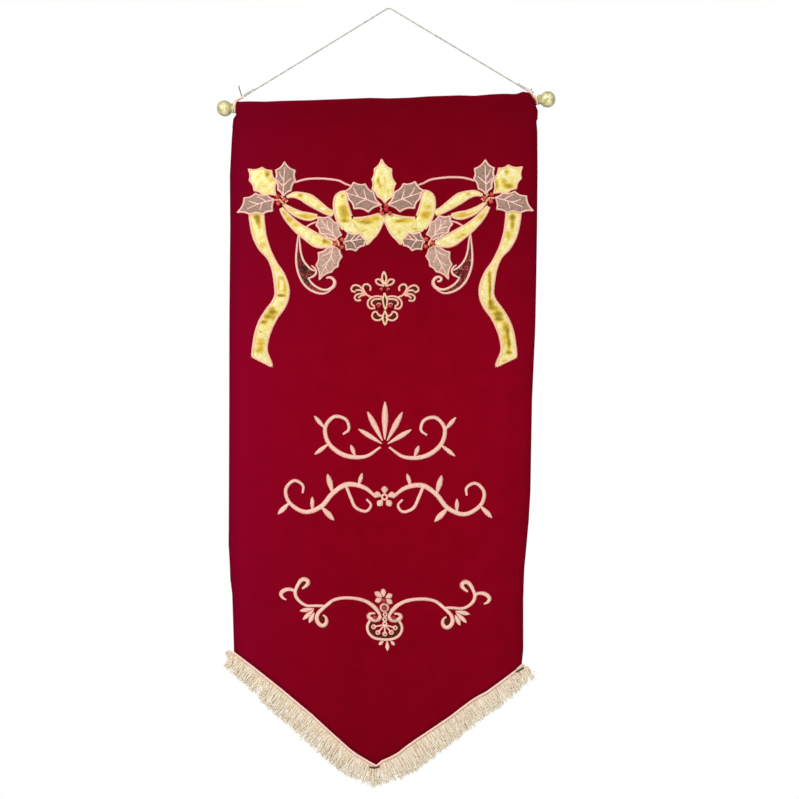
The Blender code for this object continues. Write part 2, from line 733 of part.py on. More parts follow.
def build_motif(banner):
    """Holly, bow, ribbon tails and horns, the right half mirrored from the left."""
    for name, tip_x, tip_z, base_x, base_z, wide_a, wide_b, layer, look, shift in LEAVES:
        for side, sign in (("left", 1), ("right", -1)):
            if name == "centre_gold" and side == "right":
                continue
            first, second = (wide_b, wide_a) if sign > 0 else (wide_a, wide_b)
            label = "leaf_" + name if name == "centre_gold" else "leaf_" + name + "_" + side
            moved = shift if sign < 0 else 0.0
            tip = ((sign * tip_x + moved) * MM, tip_z * MM)
            base = ((sign * base_x + moved) * MM, base_z * MM)
            build_leaf(label, tip, base, first * MM, second * MM, layer, look, banner)
    for side, sign in (("left", 1), ("right", -1)):
        for name, stations in RIBBONS.items():
            rows = np.array(stations) * MM * (sign, 1, 1)
            count, cut = (TAIL_STATIONS, TAIL_CUT * sign) if name == "tail" else (BAND_STATIONS, 0.0)
            build_band("ribbon_" + name + "_" + side, rows, count, cut, "lame", banner)
        rows = np.array(CRESCENT) * MM * (sign, 1, 1)
        build_band("crescent_" + side, rows, CRESCENT_STATIONS, 0.0, "dark_sheer", banner)


def rod_point(x, height):
    """Point at a place along the rod and a height over its axis, in the banner's own frame."""
    along = x * math.cos(ROD_TILT) - height * math.sin(ROD_TILT)
    up = x * math.sin(ROD_TILT) + height * math.cos(ROD_TILT)
    return Vector((along, 0.0, up - POCKET_OUTSIDE))


clear_scene()
PARTS = new_collection("christmas_banner")
HELPERS = new_collection("helpers")

banner_frame = add_empty("banner", (-HANG_SIDE, 0.0, -HANG_RISE), None)
rod_frame = add_empty("rod_axis", (0.0, 0.0, -POCKET_OUTSIDE), banner_frame)
rod_frame.rotation_euler = (0.0, -ROD_TILT, 0.0)

build_panel(banner_frame)
build_rod(rod_frame)
build_finial("finial_left", BALL_CENTRE_LEFT + COLLAR_REACH, -1, rod_frame)
build_finial("finial_right", BALL_CENTRE_RIGHT - COLLAR_REACH, 1, rod_frame)
for side, tie in TIES.items():
    build_tie("cord_tie_" + side, *tie, rod_frame)
build_cord(rod_point(*TIES["left"][1:3]), rod_point(*TIES["right"][1:3]), banner_frame)
for side, edge in FRINGE_SIDES.items():
    build_fringe("fringe_" + side, *edge, banner_frame)
build_motif(banner_frame)
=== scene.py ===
"""Christmas banner dressed for the camera: velvet, holly applique, satin stitch, fringe and finials.

Places on the cloth are in millimetres from its middle line and from the top of its rod pocket, as
(x, z). The frame's origin is the hang point, +Z is up and the front faces -Y.
"""

import math
import random

import bmesh
import bpy
import numpy as np
from mathutils import Color, Matrix, Vector, noise


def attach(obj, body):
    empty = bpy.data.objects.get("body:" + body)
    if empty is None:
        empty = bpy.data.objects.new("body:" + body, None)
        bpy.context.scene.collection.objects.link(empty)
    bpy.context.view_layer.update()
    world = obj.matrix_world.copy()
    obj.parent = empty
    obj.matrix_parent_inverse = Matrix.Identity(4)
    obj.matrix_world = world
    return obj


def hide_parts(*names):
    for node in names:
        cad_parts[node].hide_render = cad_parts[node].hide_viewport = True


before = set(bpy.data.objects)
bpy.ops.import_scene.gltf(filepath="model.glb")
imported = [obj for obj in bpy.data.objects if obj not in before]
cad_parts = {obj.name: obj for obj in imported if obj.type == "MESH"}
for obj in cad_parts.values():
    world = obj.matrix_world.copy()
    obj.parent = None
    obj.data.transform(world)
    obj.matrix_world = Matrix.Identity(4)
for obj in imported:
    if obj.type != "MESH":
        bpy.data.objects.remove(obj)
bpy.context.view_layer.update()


# Camera. It stands a step back at the height of the banner's upper half, a little to the right.
CAMERA_PLACE = (0.11326, -1.69871, -0.47545)
CAMERA_TURN = (86.063, -0.389, 3.144)
CAMERA_LENS = 49.56
CAMERA_SHIFT = (-0.0006, 0.0004)

scene = bpy.context.scene
camera = bpy.data.objects.new("camera", bpy.data.cameras.new("camera"))
camera.data.lens = CAMERA_LENS
camera.data.shift_x, camera.data.shift_y = CAMERA_SHIFT
camera.location = CAMERA_PLACE
camera.rotation_euler = [math.radians(angle) for angle in CAMERA_TURN]
scene.collection.objects.link(camera)
scene.camera = camera
scene.view_settings.view_transform = "Standard"


# Hanging cord. It is a pale soft cord of two plies, twisted, drawn taut by the banner's weight from
# the knot at one end of the rod over a nail to the knot at the other.
WELD = 1e-6
FINE_STEPS = 12
FRONT_TO_BACK = (0.0, 1.0, 0.0)
BANNER = Vector((-0.0034, 0.0, -0.1339))
GAP = 0.0003
ROD_RADIUS = 0.005
ROD_TILT = math.radians(1.34)
POCKET_EASE = 0.0006
CLOTH_THICKNESS = 0.0015
POCKET_OUTSIDE = ROD_RADIUS + POCKET_EASE + CLOTH_THICKNESS
CORD_RADIUS = 0.0013
KNOT_RADIUS = 0.0027
NAIL_BEND = 0.008
CORD_SLOPE = math.radians(30.4)
CORD_POINTS = 79
CORD_STATIONS = (0.0, 0.3, 0.6, 0.85, 0.96, 1.0)
CORD_PLIES = 2
CORD_LAY = 0.0062
SPARE_POINTS = 4
SPARE_RADIUS = 0.0008
STEPS_A_TURN = 10
LEFT_KNOT = (-0.2213, 0.0155)
RIGHT_KNOT = (0.2185, 0.0115)


def dye(red, green, blue):
    """Linear colour of a dye given as it looks, in the range 0 to 255."""
    look = Color((red / 255, green / 255, blue / 255)).from_srgb_to_scene_linear()
    return (look.r, look.g, look.b, 1.0)


def smooth(rows, count):
    """Rows read evenly from a Catmull-Rom curve through rows of numbers."""
    rows = np.array(rows, dtype=float)
    ends = np.vstack([2 * rows[0] - rows[1], rows, 2 * rows[-1] - rows[-2]])
    result = []
    for place in np.linspace(0.0, len(rows) - 1, count):
        step = min(int(place), len(rows) - 2)
        t = place - step
        before, start, end, after = ends[step:step + 4]
        result.append(0.5 * (2 * start + (end - before) * t
                             + (2 * before - 5 * start + 4 * end - after) * t ** 2
                             + (3 * start - before - 3 * end + after) * t ** 3))
    return np.array(result)


def lengths_along(points):
    """Length of a line of points from its start to each of them."""
    return np.concatenate([[0.0], np.cumsum(np.linalg.norm(np.diff(points, axis=0), axis=1))])


def spaced(points, count):
    """Places spaced evenly along a line of points."""
    along = lengths_along(points)
    places = np.linspace(0.0, along[-1], count)
    return np.array([np.interp(places, along, column) for column in np.transpose(points)]).T


def even(rows, count):
    """Places spaced evenly along the smooth curve through rows of numbers."""
    return spaced(smooth(rows, count * FINE_STEPS), count)


def rod_point(x, height, y=0.0):
    """Point at a place along the tilted rod and a height over its axis."""
    along = x * math.cos(ROD_TILT) - height * math.sin(ROD_TILT)
    up = x * math.sin(ROD_TILT) + height * math.cos(ROD_TILT)
    return BANNER + Vector((along, y, up - POCKET_OUTSIDE))


def cord_route():
    """Route of the hanging cord from the left knot over the nail to the right knot."""
    top = Vector((0.0, 0.0, CORD_RADIUS))
    peak = top + Vector((0.0, 0.0, NAIL_BEND / math.cos(CORD_SLOPE) - NAIL_BEND))
    halves = []
    for knot in (rod_point(*LEFT_KNOT), rod_point(*RIGHT_KNOT)):
        pull = (peak - knot).normalized()
        start = knot + pull * (KNOT_RADIUS + GAP)
        shoulder = peak - pull * NAIL_BEND * math.tan(CORD_SLOPE)
        halves.append([start.lerp(shoulder, share) for share in CORD_STATIONS])
    return even(halves[0] + [top] + halves[1][::-1], CORD_POINTS)


def laid_plies(route, radius, lay, side=FRONT_TO_BACK, closed=False, plies=CORD_PLIES):
    """Routes of the plies that are twisted together along a route, and the radius of one ply."""
    side = Vector(side)
    turns = max(1, round(lengths_along(route)[-1] / lay))
    line = even(route, turns * STEPS_A_TURN + 1)
    ahead = np.gradient(line, axis=0)
    if closed:
        ahead[0] = ahead[-1] = line[1] - line[-2]
    ply_radius = radius / 2
    routes = [[] for ply in range(plies)]
    for step, (point, way) in enumerate(zip(line, ahead)):
        way = Vector(way).normalized()
        across = (side - way * side.dot(way)).normalized()
        lift = way.cross(across)
        for ply, path in enumerate(routes):
            angle = 2 * math.pi * (step / STEPS_A_TURN + ply / plies)
            swing = across * math.cos(angle) + lift * math.sin(angle)
            path.append(Vector(point) + swing * ply_radius)
    return routes, ply_radius


def tubes(name, routes, radius, sides=2, closed=False):
    """Mesh of round strands along routes, their ends capped."""
    curve = bpy.data.curves.new(name, "CURVE")
    curve.dimensions = "3D"
    curve.bevel_depth = radius
    curve.bevel_resolution = sides
    curve.use_fill_caps = not closed
    for route in routes:
        route = route[:-1] if closed else route
        spline = curve.splines.new("POLY")
        spline.points.add(len(route) - 1)
        for knot, point in zip(spline.points, route):
            knot.co = (*point, 1.0)
        spline.use_cyclic_u = closed
        spline.use_smooth = True
    holder = bpy.data.objects.new(name, curve)
    scene.collection.objects.link(holder)
    mesh = welded(plain_mesh(holder))
    bpy.data.curves.remove(curve)
    return mesh


def plain_mesh(holder):
    """Mesh of an object as its modifiers leave it, with the object gone."""
    graph = bpy.context.evaluated_depsgraph_get()
    mesh = bpy.data.meshes.new_from_object(holder.evaluated_get(graph), depsgraph=graph)
    holder.modifiers.clear()
    bpy.data.objects.remove(holder, do_unlink=True)
    return mesh


def welded(mesh, turned_out=False):
    """The mesh with its doubles merged and, if wanted, its faces turned outwards."""
    body = bmesh.new()
    body.from_mesh(mesh)
    bmesh.ops.remove_doubles(body, verts=body.verts, dist=WELD)
    if turned_out:
        bmesh.ops.recalc_face_normals(body, faces=body.faces)
    body.to_mesh(mesh)
    body.free()
    return mesh


def smooth_mesh(body):
    """Smooth-shaded mesh of what has been built, which is then set free."""
    mesh = bpy.data.meshes.new("built")
    body.to_mesh(mesh)
    body.free()
    mesh.shade_smooth()
    return mesh


def joined(meshes):
    """One mesh of several."""
    body = bmesh.new()
    for mesh in meshes:
        body.from_mesh(mesh)
    return smooth_mesh(body)


def add_piece(name, mesh, material, slot="", *replaced):
    """Piece of the banner, riding on it, in place of the solids that it stands for."""
    item = bpy.data.objects.new(name, mesh)
    mesh.name = name
    mesh.materials.clear()
    mesh.materials.append(material)
    scene.collection.objects.link(item)
    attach(item, "root")
    if replaced:
        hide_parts(*replaced)
    return item


def add_node(tree, kind, inputs=(), **settings):
    """Node whose inputs take plain values or the outputs of other nodes."""
    new = tree.nodes.new(kind)
    for name, value in settings.items():
        setattr(new, name, value)
    for key, value in dict(inputs).items():
        if isinstance(value, bpy.types.NodeSocket):
            tree.links.new(value, new.inputs[key])
        else:
            new.inputs[key].default_value = value
    return new


def made(tree, kind, inputs=(), which=0, **settings):
    """One output of a new node."""
    return add_node(tree, kind, inputs, **settings).outputs[which]


def reckon(tree, operation, *values):
    """Result of a sum or another operation on values."""
    return made(tree, "ShaderNodeMath", enumerate(values), operation=operation)


def blend_colours(tree, share, first, second, how="MIX"):
    """Colour between two others, or their product."""
    return made(tree, "ShaderNodeMix", {0: share, 6: first, 7: second}, 2, data_type="RGBA",
                blend_type=how)


def own_place(tree):
    """Place in the piece's own coordinates."""
    return made(tree, "ShaderNodeTexCoord", (), "Object")


def effect_group(name, inputs, outputs):
    """Shader group with named inputs and outputs, what its inputs give, and its output node."""
    tree = bpy.data.node_groups.new(name, "ShaderNodeTree")
    for label, kind, value in inputs:
        socket = tree.interface.new_socket(label, in_out="INPUT", socket_type="NodeSocket" + kind)
        socket.default_value = value
    for label, kind in outputs:
        tree.interface.new_socket(label, in_out="OUTPUT", socket_type="NodeSocket" + kind)
    return tree, tree.nodes.new("NodeGroupInput").outputs, tree.nodes.new("NodeGroupOutput")


def mottle_group():
    """Cloudy change between two colours, as dye, wear and pile give."""
    tree, start, end = effect_group(
        "Mottle",
        [("Light", "Color", (1, 1, 1, 1)), ("Dark", "Color", (0, 0, 0, 1)),
         ("Scale", "Float", 40.0), ("Edge", "Float", 0.2)],
        [("Color", "Color"), ("Mask", "Float")])
    clouds = made(tree, "ShaderNodeTexNoise",
                  {"Vector": own_place(tree), "Scale": start["Scale"], "Detail": 4.0})
    low = reckon(tree, "SUBTRACT", 0.5, start["Edge"])
    high = reckon(tree, "ADD", 0.5, start["Edge"])
    mask = made(tree, "ShaderNodeMapRange", {0: clouds, 1: low, 2: high})
    colour = blend_colours(tree, mask, start["Dark"], start["Light"])
    tree.links.new(colour, end.inputs["Color"])
    tree.links.new(mask, end.inputs["Mask"])
    return tree


def spun_group():
    """Fine fibres along a thread, as a height."""
    tree, start, end = effect_group(
        "Fibres", [("Scale", "Float", 900.0)], [("Height", "Float")])
    fibres = made(tree, "ShaderNodeTexNoise",
                  {"Vector": own_place(tree), "Scale": start["Scale"], "Detail": 2.0})
    tree.links.new(fibres, end.inputs["Height"])
    return tree


MOTTLE = mottle_group()
FIBRES = spun_group()


def finish_material(name, roughness, **settings):
    """Material with its tree and Principled shader, plain values set on the shader's own sockets."""
    material = bpy.data.materials.new(name)
    material.use_nodes = True
    tree = material.node_tree
    shader = tree.nodes["Principled BSDF"]
    shader.inputs["Roughness"].default_value = roughness
    for label, value in settings.items():
        shader.inputs[label.replace("_", " ")].default_value = value
    return material, tree, shader


def add_mottle(tree, light, dark, scale, edge=0.2):
    """Outputs of the mottle group placed in a material."""
    return add_node(tree, "ShaderNodeGroup",
                    {"Light": light, "Dark": dark, "Scale": scale, "Edge": edge},
                    node_tree=MOTTLE).outputs


def paint(tree, shader, colour):
    """Give a material its colour."""
    tree.links.new(colour, shader.inputs["Base Color"])


def add_relief(tree, shader, height, strength, distance):
    """Bump on a material from a height."""
    bump = made(tree, "ShaderNodeBump",
                {"Strength": strength, "Distance": distance, "Height": height})
    tree.links.new(bump, shader.inputs["Normal"])


def add_fibres(tree, shader, scale, strength, distance):
    """Bump of fine fibres on a material."""
    fibres = made(tree, "ShaderNodeGroup", {"Scale": scale}, node_tree=FIBRES)
    add_relief(tree, shader, fibres, strength, distance)


def mottled_material(name, roughness, light, dark, scale, **settings):
    """Material mottled in two colours, with its tree and shader."""
    material, tree, shader = finish_material(name, roughness, **settings)
    paint(tree, shader, add_mottle(tree, light, dark, scale)["Color"])
    return material, tree, shader


def yarn_material(name, light, dark, roughness, scale):
    """Soft spun yarn, mottled and fibrous."""
    material, tree, shader = mottled_material(name, roughness, light, dark, scale,
                                              Sheen_Weight=0.3, Specular_IOR_Level=0.2)
    add_fibres(tree, shader, 900.0, 0.5, 0.0003)
    return material


CORD_COTTON = yarn_material("cord cotton", dye(210, 208, 197), dye(152, 150, 137), 0.75, 260.0)

route = cord_route()
plies, ply_radius = laid_plies(route, CORD_RADIUS, CORD_LAY)
spare = []
for start in (route[:SPARE_POINTS], route[:-SPARE_POINTS - 1:-1]):
    pull = start[1] - start[0]
    over = Vector((-pull[2], 0.0, pull[0])).normalized() * (SPARE_RADIUS + CORD_RADIUS)
    spare += laid_plies([Vector(point) + over * math.copysign(1.0, pull[0]) for point in start],
                        SPARE_RADIUS, CORD_LAY)[0]
hanging_cord = add_piece("hanging_cord_twisted", joined([
    tubes("plies", plies, ply_radius), tubes("spare", spare, SPARE_RADIUS / 2)]),
    CORD_COTTON, "cord", "hanging_cord")


# Cord ties. At each end the cord is looped round the rod between the cloth and the finial, knotted
# over the rod, and its free end left to stand: a longer one on the left, a stub on the right.
TIE_RADIUS = 0.0014
TIE_LAY = 0.0060
LOOP_POINTS = 15
LOOP_NECK_WIDTH = 0.4
LOOP_NECK_HEIGHT = 0.6
KNOT_SCALE = 0.00057
KNOT_STRAND = 0.0009
KNOT_POINTS = 49
FREE_END_RADIUS = 0.0009
FREE_END_LAY = 0.0044
FREE_END_LEAN = 0.08
FREE_END_POINTS = 13
TIES = {
    # side, where the loop hugs the rod, how high it stays there, its knot, the free ends in x, height
    "left": (-0.2324, 0.01, LEFT_KNOT, [((-0.0015, 0.006), (-0.003, 0.012), (-0.0042, 0.018))]),
    "right": (0.2282, 0, RIGHT_KNOT, [((0.0006, 0.002), (0.0014, 0.0034), (0.0026, 0.0046)),
        ((0.002, -0.0002), (0.0036, 0), (0.0052, 0.0006))]),
}


def tie_loop(side, turn, knot):
    """Closed route of the loop, round the rod below and drawn in to the knot above."""
    knot_side, knot_height = knot
    hugging = POCKET_OUTSIDE + GAP + TIE_RADIUS
    lift = hugging - (ROD_RADIUS + GAP + TIE_RADIUS)
    opening = math.acos(hugging / (knot_height - lift))
    way = [(hugging * math.sin(angle), lift + hugging * math.cos(angle))
           for angle in np.linspace(math.pi * 2 - opening, opening, LOOP_POINTS)]
    shoulder_y, shoulder_height = way[-1]
    neck = shoulder_height + (knot_height - shoulder_height) * LOOP_NECK_HEIGHT
    way += [(shoulder_y * LOOP_NECK_WIDTH, neck), (0.0, knot_height)]
    way += [(-shoulder_y * LOOP_NECK_WIDTH, neck), way[0]]
    return [rod_point(side + (knot_side - side) * max(height - turn, 0.0) / (knot_height - turn),
                      height, y) for y, height in way]


def knot_route(centre):
    """Closed overhand knot round a point."""
    way = []
    for angle in np.linspace(0.0, 2 * math.pi, KNOT_POINTS):
        bow = (math.sin(angle) + 2 * math.sin(2 * angle), math.cos(angle) - 2 * math.cos(2 * angle),
               -math.sin(3 * angle))
        way.append(centre + Vector(bow) * KNOT_SCALE)
    return way


TIE_COTTON = yarn_material("tie cotton", dye(255, 224, 206), dye(226, 178, 152), 0.7, 260.0)
# The free ends are drawn grey, darker than the knotted loop.
GREY_END_COTTON = yarn_material("grey cord end", dye(124, 124, 116), dye(70, 68, 60), 0.75, 260.0)

for side, (hug, turn, knot, ends) in TIES.items():
    loop, loop_ply = laid_plies(tie_loop(hug, turn, knot), TIE_RADIUS, TIE_LAY, (1.0, 0.0, 0.0), True)
    add_piece("cord_tie_" + side + "_knotted",
              joined([tubes("loop", loop, loop_ply, closed=True),
                      tubes("knot", [knot_route(rod_point(*knot))], KNOT_STRAND, closed=True)]),
              TIE_COTTON, "cord", "cord_tie_" + side)
    free = []
    for end in ends:
        way = [rod_point(knot[0] + across, knot[1] + up, -up * FREE_END_LEAN)
               for across, up in ((0.0, 0.0), *end)]
        free += laid_plies(smooth(way, FREE_END_POINTS), FREE_END_RADIUS, FREE_END_LAY)[0]
    add_piece("cord_tie_" + side + "_free_ends", joined([tubes("ends", free, FREE_END_RADIUS / 2)]),
              GREY_END_COTTON, "cord")


# Rod. It is a plain round dowel of pale wood, pushed through the pocket into both finials, and only
# its ends show between the cloth and the collars.
wood, tree, shader = finish_material("dowel wood", 0.55)
stretch = made(tree, "ShaderNodeMapping", {"Vector": own_place(tree), "Scale": (0.06, 1.0, 1.0)})
grain = made(tree, "ShaderNodeTexNoise", {"Vector": stretch, "Scale": 700.0, "Detail": 5.0})
paint(tree, shader, blend_colours(tree, grain, dye(150, 118, 78), dye(226, 204, 164)))
add_relief(tree, shader, grain, 0.3, 0.0003)
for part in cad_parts["rod"].material_slots:
    part.material = wood


# Finials. Each is a turned wooden ball with a two-ringed collar, bored for the rod's end and rubbed
# with pale gold paint worn to a patchy mottle; a painted shade darkens it where it turns from the camera.
BALL_RADIUS = 0.0119
BALL_ROWS = 26
BALL_CENTRES = {"left": (-0.2486, -1), "right": (0.2444, 1)}
COLLAR_REACH = 0.0145
NECK_RADIUS = 0.0063
SOCKET_DEPTH = 0.010
SOCKET_EASE = 0.0004
TURNING_STEPS = 56
SHARP_ANGLE = math.radians(50)
COLLAR_ROWS = 31
COLLAR = (
    # radius, distance out from the collar's inner face
    (0.0067, 0.0041), (0.0071, 0.0037), (0.0069, 0.0032), (0.0063, 0.0028), (0.0072, 0.0023),
    (0.0076, 0.0014), (0.0073, 0.0005), (0.0067, 0),
)


def finial_mesh(face, outwards):
    """Ball, collar and socket turned about the rod's axis."""
    last = math.pi - math.asin(NECK_RADIUS / BALL_RADIUS)
    profile = [(BALL_RADIUS * math.sin(a), COLLAR_REACH + BALL_RADIUS * math.cos(a))
               for a in np.linspace(0.0, last, BALL_ROWS)]
    profile += [tuple(row) for row in smooth(COLLAR, COLLAR_ROWS)]
    socket = ROD_RADIUS + SOCKET_EASE
    profile += [(socket, 0.0), (socket, SOCKET_DEPTH), (0.0, SOCKET_DEPTH)]
    body = bmesh.new()
    verts = [body.verts.new(rod_point(face + outwards * reach, radius)) for radius, reach in profile]
    edges = [body.edges.new(pair) for pair in zip(verts, verts[1:])]
    axis = (rod_point(1.0, 0.0) - rod_point(0.0, 0.0)).normalized()
    bmesh.ops.spin(body, geom=verts + edges, cent=rod_point(face, 0.0), axis=axis,
                   angle=2 * math.pi, steps=TURNING_STEPS)
    bmesh.ops.remove_doubles(body, verts=body.verts, dist=WELD)
    bmesh.ops.recalc_face_normals(body, faces=body.faces)
    mesh = smooth_mesh(body)
    mesh.set_sharp_from_angle(angle=SHARP_ANGLE)
    return mesh


gold_paint, tree, shader = finish_material("gold paint", 0.5, Metallic=0.3, Specular_IOR_Level=0.3)
worn = add_mottle(tree, dye(242, 235, 188), dye(184, 177, 116), 170.0, 0.12)
# Painted shade: the gold is mixed towards dark olive where the surface turns away from the camera.
painted_rim_shade = made(tree, "ShaderNodeLayerWeight", {"Blend": 0.42}, "Facing")
paint(tree, shader, blend_colours(tree, painted_rim_shade, worn["Color"], dye(112, 108, 70)))
add_relief(tree, shader, worn["Mask"], 0.25, 0.0003)

for side, (centre, outwards) in BALL_CENTRES.items():
    add_piece("finial_" + side + "_turned", finial_mesh(centre - outwards * COLLAR_REACH, outwards),
              gold_paint, "gold_paint", "finial_" + side)


# Panel. It is one pennant of red velvet, folded over the rod and sewn down behind in a pocket, with
# narrow hems turned back along its sides and its V edge. It hangs in two very shallow waves.
WAVE_START = 0.045
WAVE_REACH = 0.90
BROAD_WAVE = (0.0028, 0.30, 0.7)
NARROW_WAVE = (0.0010, 0.14, -1.9)
NARROW_WAVE_SLANT = 2.5
POCKET_DEPTH = 0.039
FLAP_TAIL = 0.006
HUMP_SIDE = 0.209
HUMP_HEIGHT = 0.0038
HUMP_WIDTH = 0.008
POCKET_RISES = (
    # place along the rod, how far the slack pocket stands over it
    (-0.234, 0.003), (-0.21, 0.0029), (-0.185, 0.0017), (-0.16, 0.0022), (-0.115, 0.002), (-0.06, 0.0026),
    (-0.025, 0.0031), (0.005, 0.0013), (0.035, 0.0015), (0.066, 0.0029), (0.111, 0.0031), (0.135, 0.0016),
    (0.16, 0.0034), (0.18, 0.0037), (0.195, 0.0025), (0.23, 0.0025),
)
COLUMNS = 108
ARC_ROWS = 26
SLACK_ROWS = 9
FLAP_ROWS = 4
FALL_ROWS = 172
RIM_STEPS = (0.0, 0.0003, 0.0008, 0.0016)
RIM_RADIUS = 0.0008
RIM_LEAST = 0.12
HEM_WIDTH = 0.010
HEM_RISE = 0.0006
HEM_STEP = 0.0008
HEM_CLEARANCE = 1.4
SEAM_TROUGH = 0.0004
SEAM_TROUGH_WIDTH = 0.0022
SIDE_EDGES = (
    # depth, left edge, right edge
    (0, -0.23, 0.216), (0.005, -0.23, 0.2215), (0.009, -0.2298, 0.2255), (0.018, -0.2301, 0.2272),
    (0.024, -0.2348, 0.23), (0.036, -0.2366, 0.2298), (0.039, -0.2366, 0.2282), (0.046, -0.2374, 0.2296),
    (0.11, -0.241, 0.231), (0.19, -0.2408, 0.2316), (0.28, -0.2421, 0.2316), (0.35, -0.2429, 0.2312),
    (0.46, -0.2435, 0.2279), (0.6, -0.2446, 0.2275), (0.645, -0.245, 0.2256), (0.69, -0.2455, 0.2222),
    (0.72, -0.2438, 0.2198), (0.745, -0.243, 0.2192), (0.77, -0.24, 0.2188), (0.848, -0.2379, 0.22),
    (0.87, -0.2375, 0.218),
)
V_EDGE = (
    # fraction across, depth
    (0, 0.8624), (0.071, 0.886), (0.176, 0.923), (0.278, 0.96), (0.369, 0.9976), (0.408, 1.014),
    (0.436, 1.0238), (0.481, 1.0362), (0.5, 1.041), (0.52, 1.033), (0.546, 1.0278), (0.574, 1.0204),
    (0.602, 1.0094), (0.634, 0.9981), (0.757, 0.9575), (0.823, 0.9324), (0.851, 0.9234), (0.877, 0.9167),
    (0.985, 0.8774), (1, 0.869),
)
DEPTH_BRIGHTNESS = (
    # depth, how bright the velvet is drawn there, darker near the pocket and towards the V
    (0, 0.4), (0.03, 0.5), (0.1, 0.6), (0.2, 0.68), (0.26, 0.76), (0.36, 0.92), (0.48, 1), (0.7, 0.92),
    (0.86, 0.84), (0.98, 0.74), (1.05, 0.6),
)
ROSE = (
    # fraction across, how far the pile turns to its bluer side
    (0, 0.95), (0.03, 0.8), (0.1, 0.45), (0.22, 0.25), (0.4, 0.06), (0.8, 0.06), (1, 0.2),
)
EDGE_SHADE = (
    # fraction across, share of the brightness that the cloth turns away there
    (0, 0.55), (0.006, 0.2), (0.03, 0), (0.9, 0), (0.96, 0.12), (0.99, 0.25), (1, 0.6),
)
V_SHADE = 0.75
V_SHADE_WIDTH = 0.005
PANEL_FLAT = (0.473, 1.10)


def read_table(table, column, place):
    """Column of a table read at a place in its first column."""
    rows = np.array(table)
    return np.interp(place, rows[:, 0], rows[:, column])


def wave(x, z):
    """Soft hang of the cloth out of its plane, growing downwards."""
    fall = min(max((-z - WAVE_START) / WAVE_REACH, 0.0), 1.0)
    height, length, shift = BROAD_WAVE
    broad = height * math.sin(2 * math.pi * x / length + shift)
    height, length, shift = NARROW_WAVE
    narrow = height * math.sin(2 * math.pi * x / length + shift + NARROW_WAVE_SLANT * z)
    return fall * (broad + narrow)


def pocket_section():
    """Rows of the rod pocket, flap end first, as (y, height over the rod's axis)."""
    middle = ROD_RADIUS + POCKET_EASE + CLOTH_THICKNESS / 2
    seam = POCKET_OUTSIDE - POCKET_DEPTH
    behind = CLOTH_THICKNESS + GAP
    reach = math.pi - math.acos(middle / -seam)
    arc = [(middle * math.sin(a), middle * math.cos(a)) for a in np.linspace(reach, -reach, ARC_ROWS)]
    slack = np.linspace(0.0, 1.0, SLACK_ROWS + 2)[1:-1]
    rows = [(behind, seam - FLAP_TAIL * s) for s in np.linspace(1.0, 0.0, FLAP_ROWS)]
    rows += [(behind + (arc[0][0] - behind) * s, seam + (arc[0][1] - seam) * s) for s in slack]
    rows += arc
    rows += [(arc[-1][0] * s, seam + (arc[-1][1] - seam) * s) for s in slack[::-1]]
    return rows


def pocket_point(across, y, height):
    """Point of the pocket at a fraction across, lifted at the hump near the right knot."""
    depth = min(max(POCKET_OUTSIDE - height, 0.0), POCKET_DEPTH)
    left = read_table(SIDE_EDGES, 1, depth)
    right = read_table(SIDE_EDGES, 2, depth)
    x = left + (right - left) * across
    crown = max(height, 0.0) / POCKET_OUTSIDE
    rise = HUMP_HEIGHT * math.exp(-((x - HUMP_SIDE) / HUMP_WIDTH) ** 2) + read_table(POCKET_RISES, 1, x)
    return Vector((x, y, x * math.tan(ROD_TILT) - POCKET_OUTSIDE + height + crown * rise))


def fall_point(across, down):
    """Point of the hanging cloth, from the pocket's seam (0) to the V edge (1)."""
    seam_x = pocket_point(across, 0.0, POCKET_OUTSIDE - POCKET_DEPTH).x
    seam_z = seam_x * math.tan(ROD_TILT) - POCKET_DEPTH
    z = seam_z + (-read_table(V_EDGE, 1, across) - seam_z) * down
    depth = -z + seam_x * math.tan(ROD_TILT) * (1 - down)
    left = read_table(SIDE_EDGES, 1, depth)
    right = read_table(SIDE_EDGES, 2, depth)
    x = left + (right - left) * across
    return Vector((x, wave(x, z), z))


def rimmed(spans, even_steps):
    """Fractions of a length with close steps at its ends, so that a hem can be rounded there."""
    near = [step / spans for step in RIM_STEPS]
    hem = [HEM_WIDTH / spans, (HEM_WIDTH + HEM_STEP) / spans]
    clear = hem[1] * HEM_CLEARANCE
    inner = [s for s in np.linspace(0.0, 1.0, even_steps + 1)[1:-1] if clear < s < 1 - clear]
    start = near + hem
    return np.array(start + inner + [1 - s for s in reversed(start)])


def shell(points, normals, front, back, values):
    """Closed sheet from a grid of points, with its thickness before and behind and its own values."""
    rows, columns = points.shape[:2]
    count = rows * columns
    faces = [points + normals * np.expand_dims(front, -1), points - normals * np.expand_dims(back, -1)]
    places = np.concatenate([side.reshape(-1, 3) for side in faces])
    index = np.arange(count).reshape(rows, columns)
    quads = []
    for grid in (index, index[:, ::-1] + count):
        corners = (grid[:-1, :-1], grid[1:, :-1], grid[1:, 1:], grid[:-1, 1:])
        quads += np.stack([corner.ravel() for corner in corners], axis=1).tolist()
    rim = [*index[0, :-1], *index[:-1, -1], *index[-1, :0:-1], *index[:0:-1, 0]]
    quads += [(a, b, b + count, a + count) for a, b in zip(rim, rim[1:] + rim[:1])]
    mesh = bpy.data.meshes.new("shell")
    mesh.from_pydata(places.tolist(), [], [[int(corner) for corner in quad] for quad in quads])
    for name, numbers in values.items():
        layer = mesh.attributes.new(name, "FLOAT", "POINT")
        layer.data.foreach_set("value", np.tile(np.ravel(numbers), 2))
    mesh.shade_smooth()
    return welded(mesh, turned_out=True)


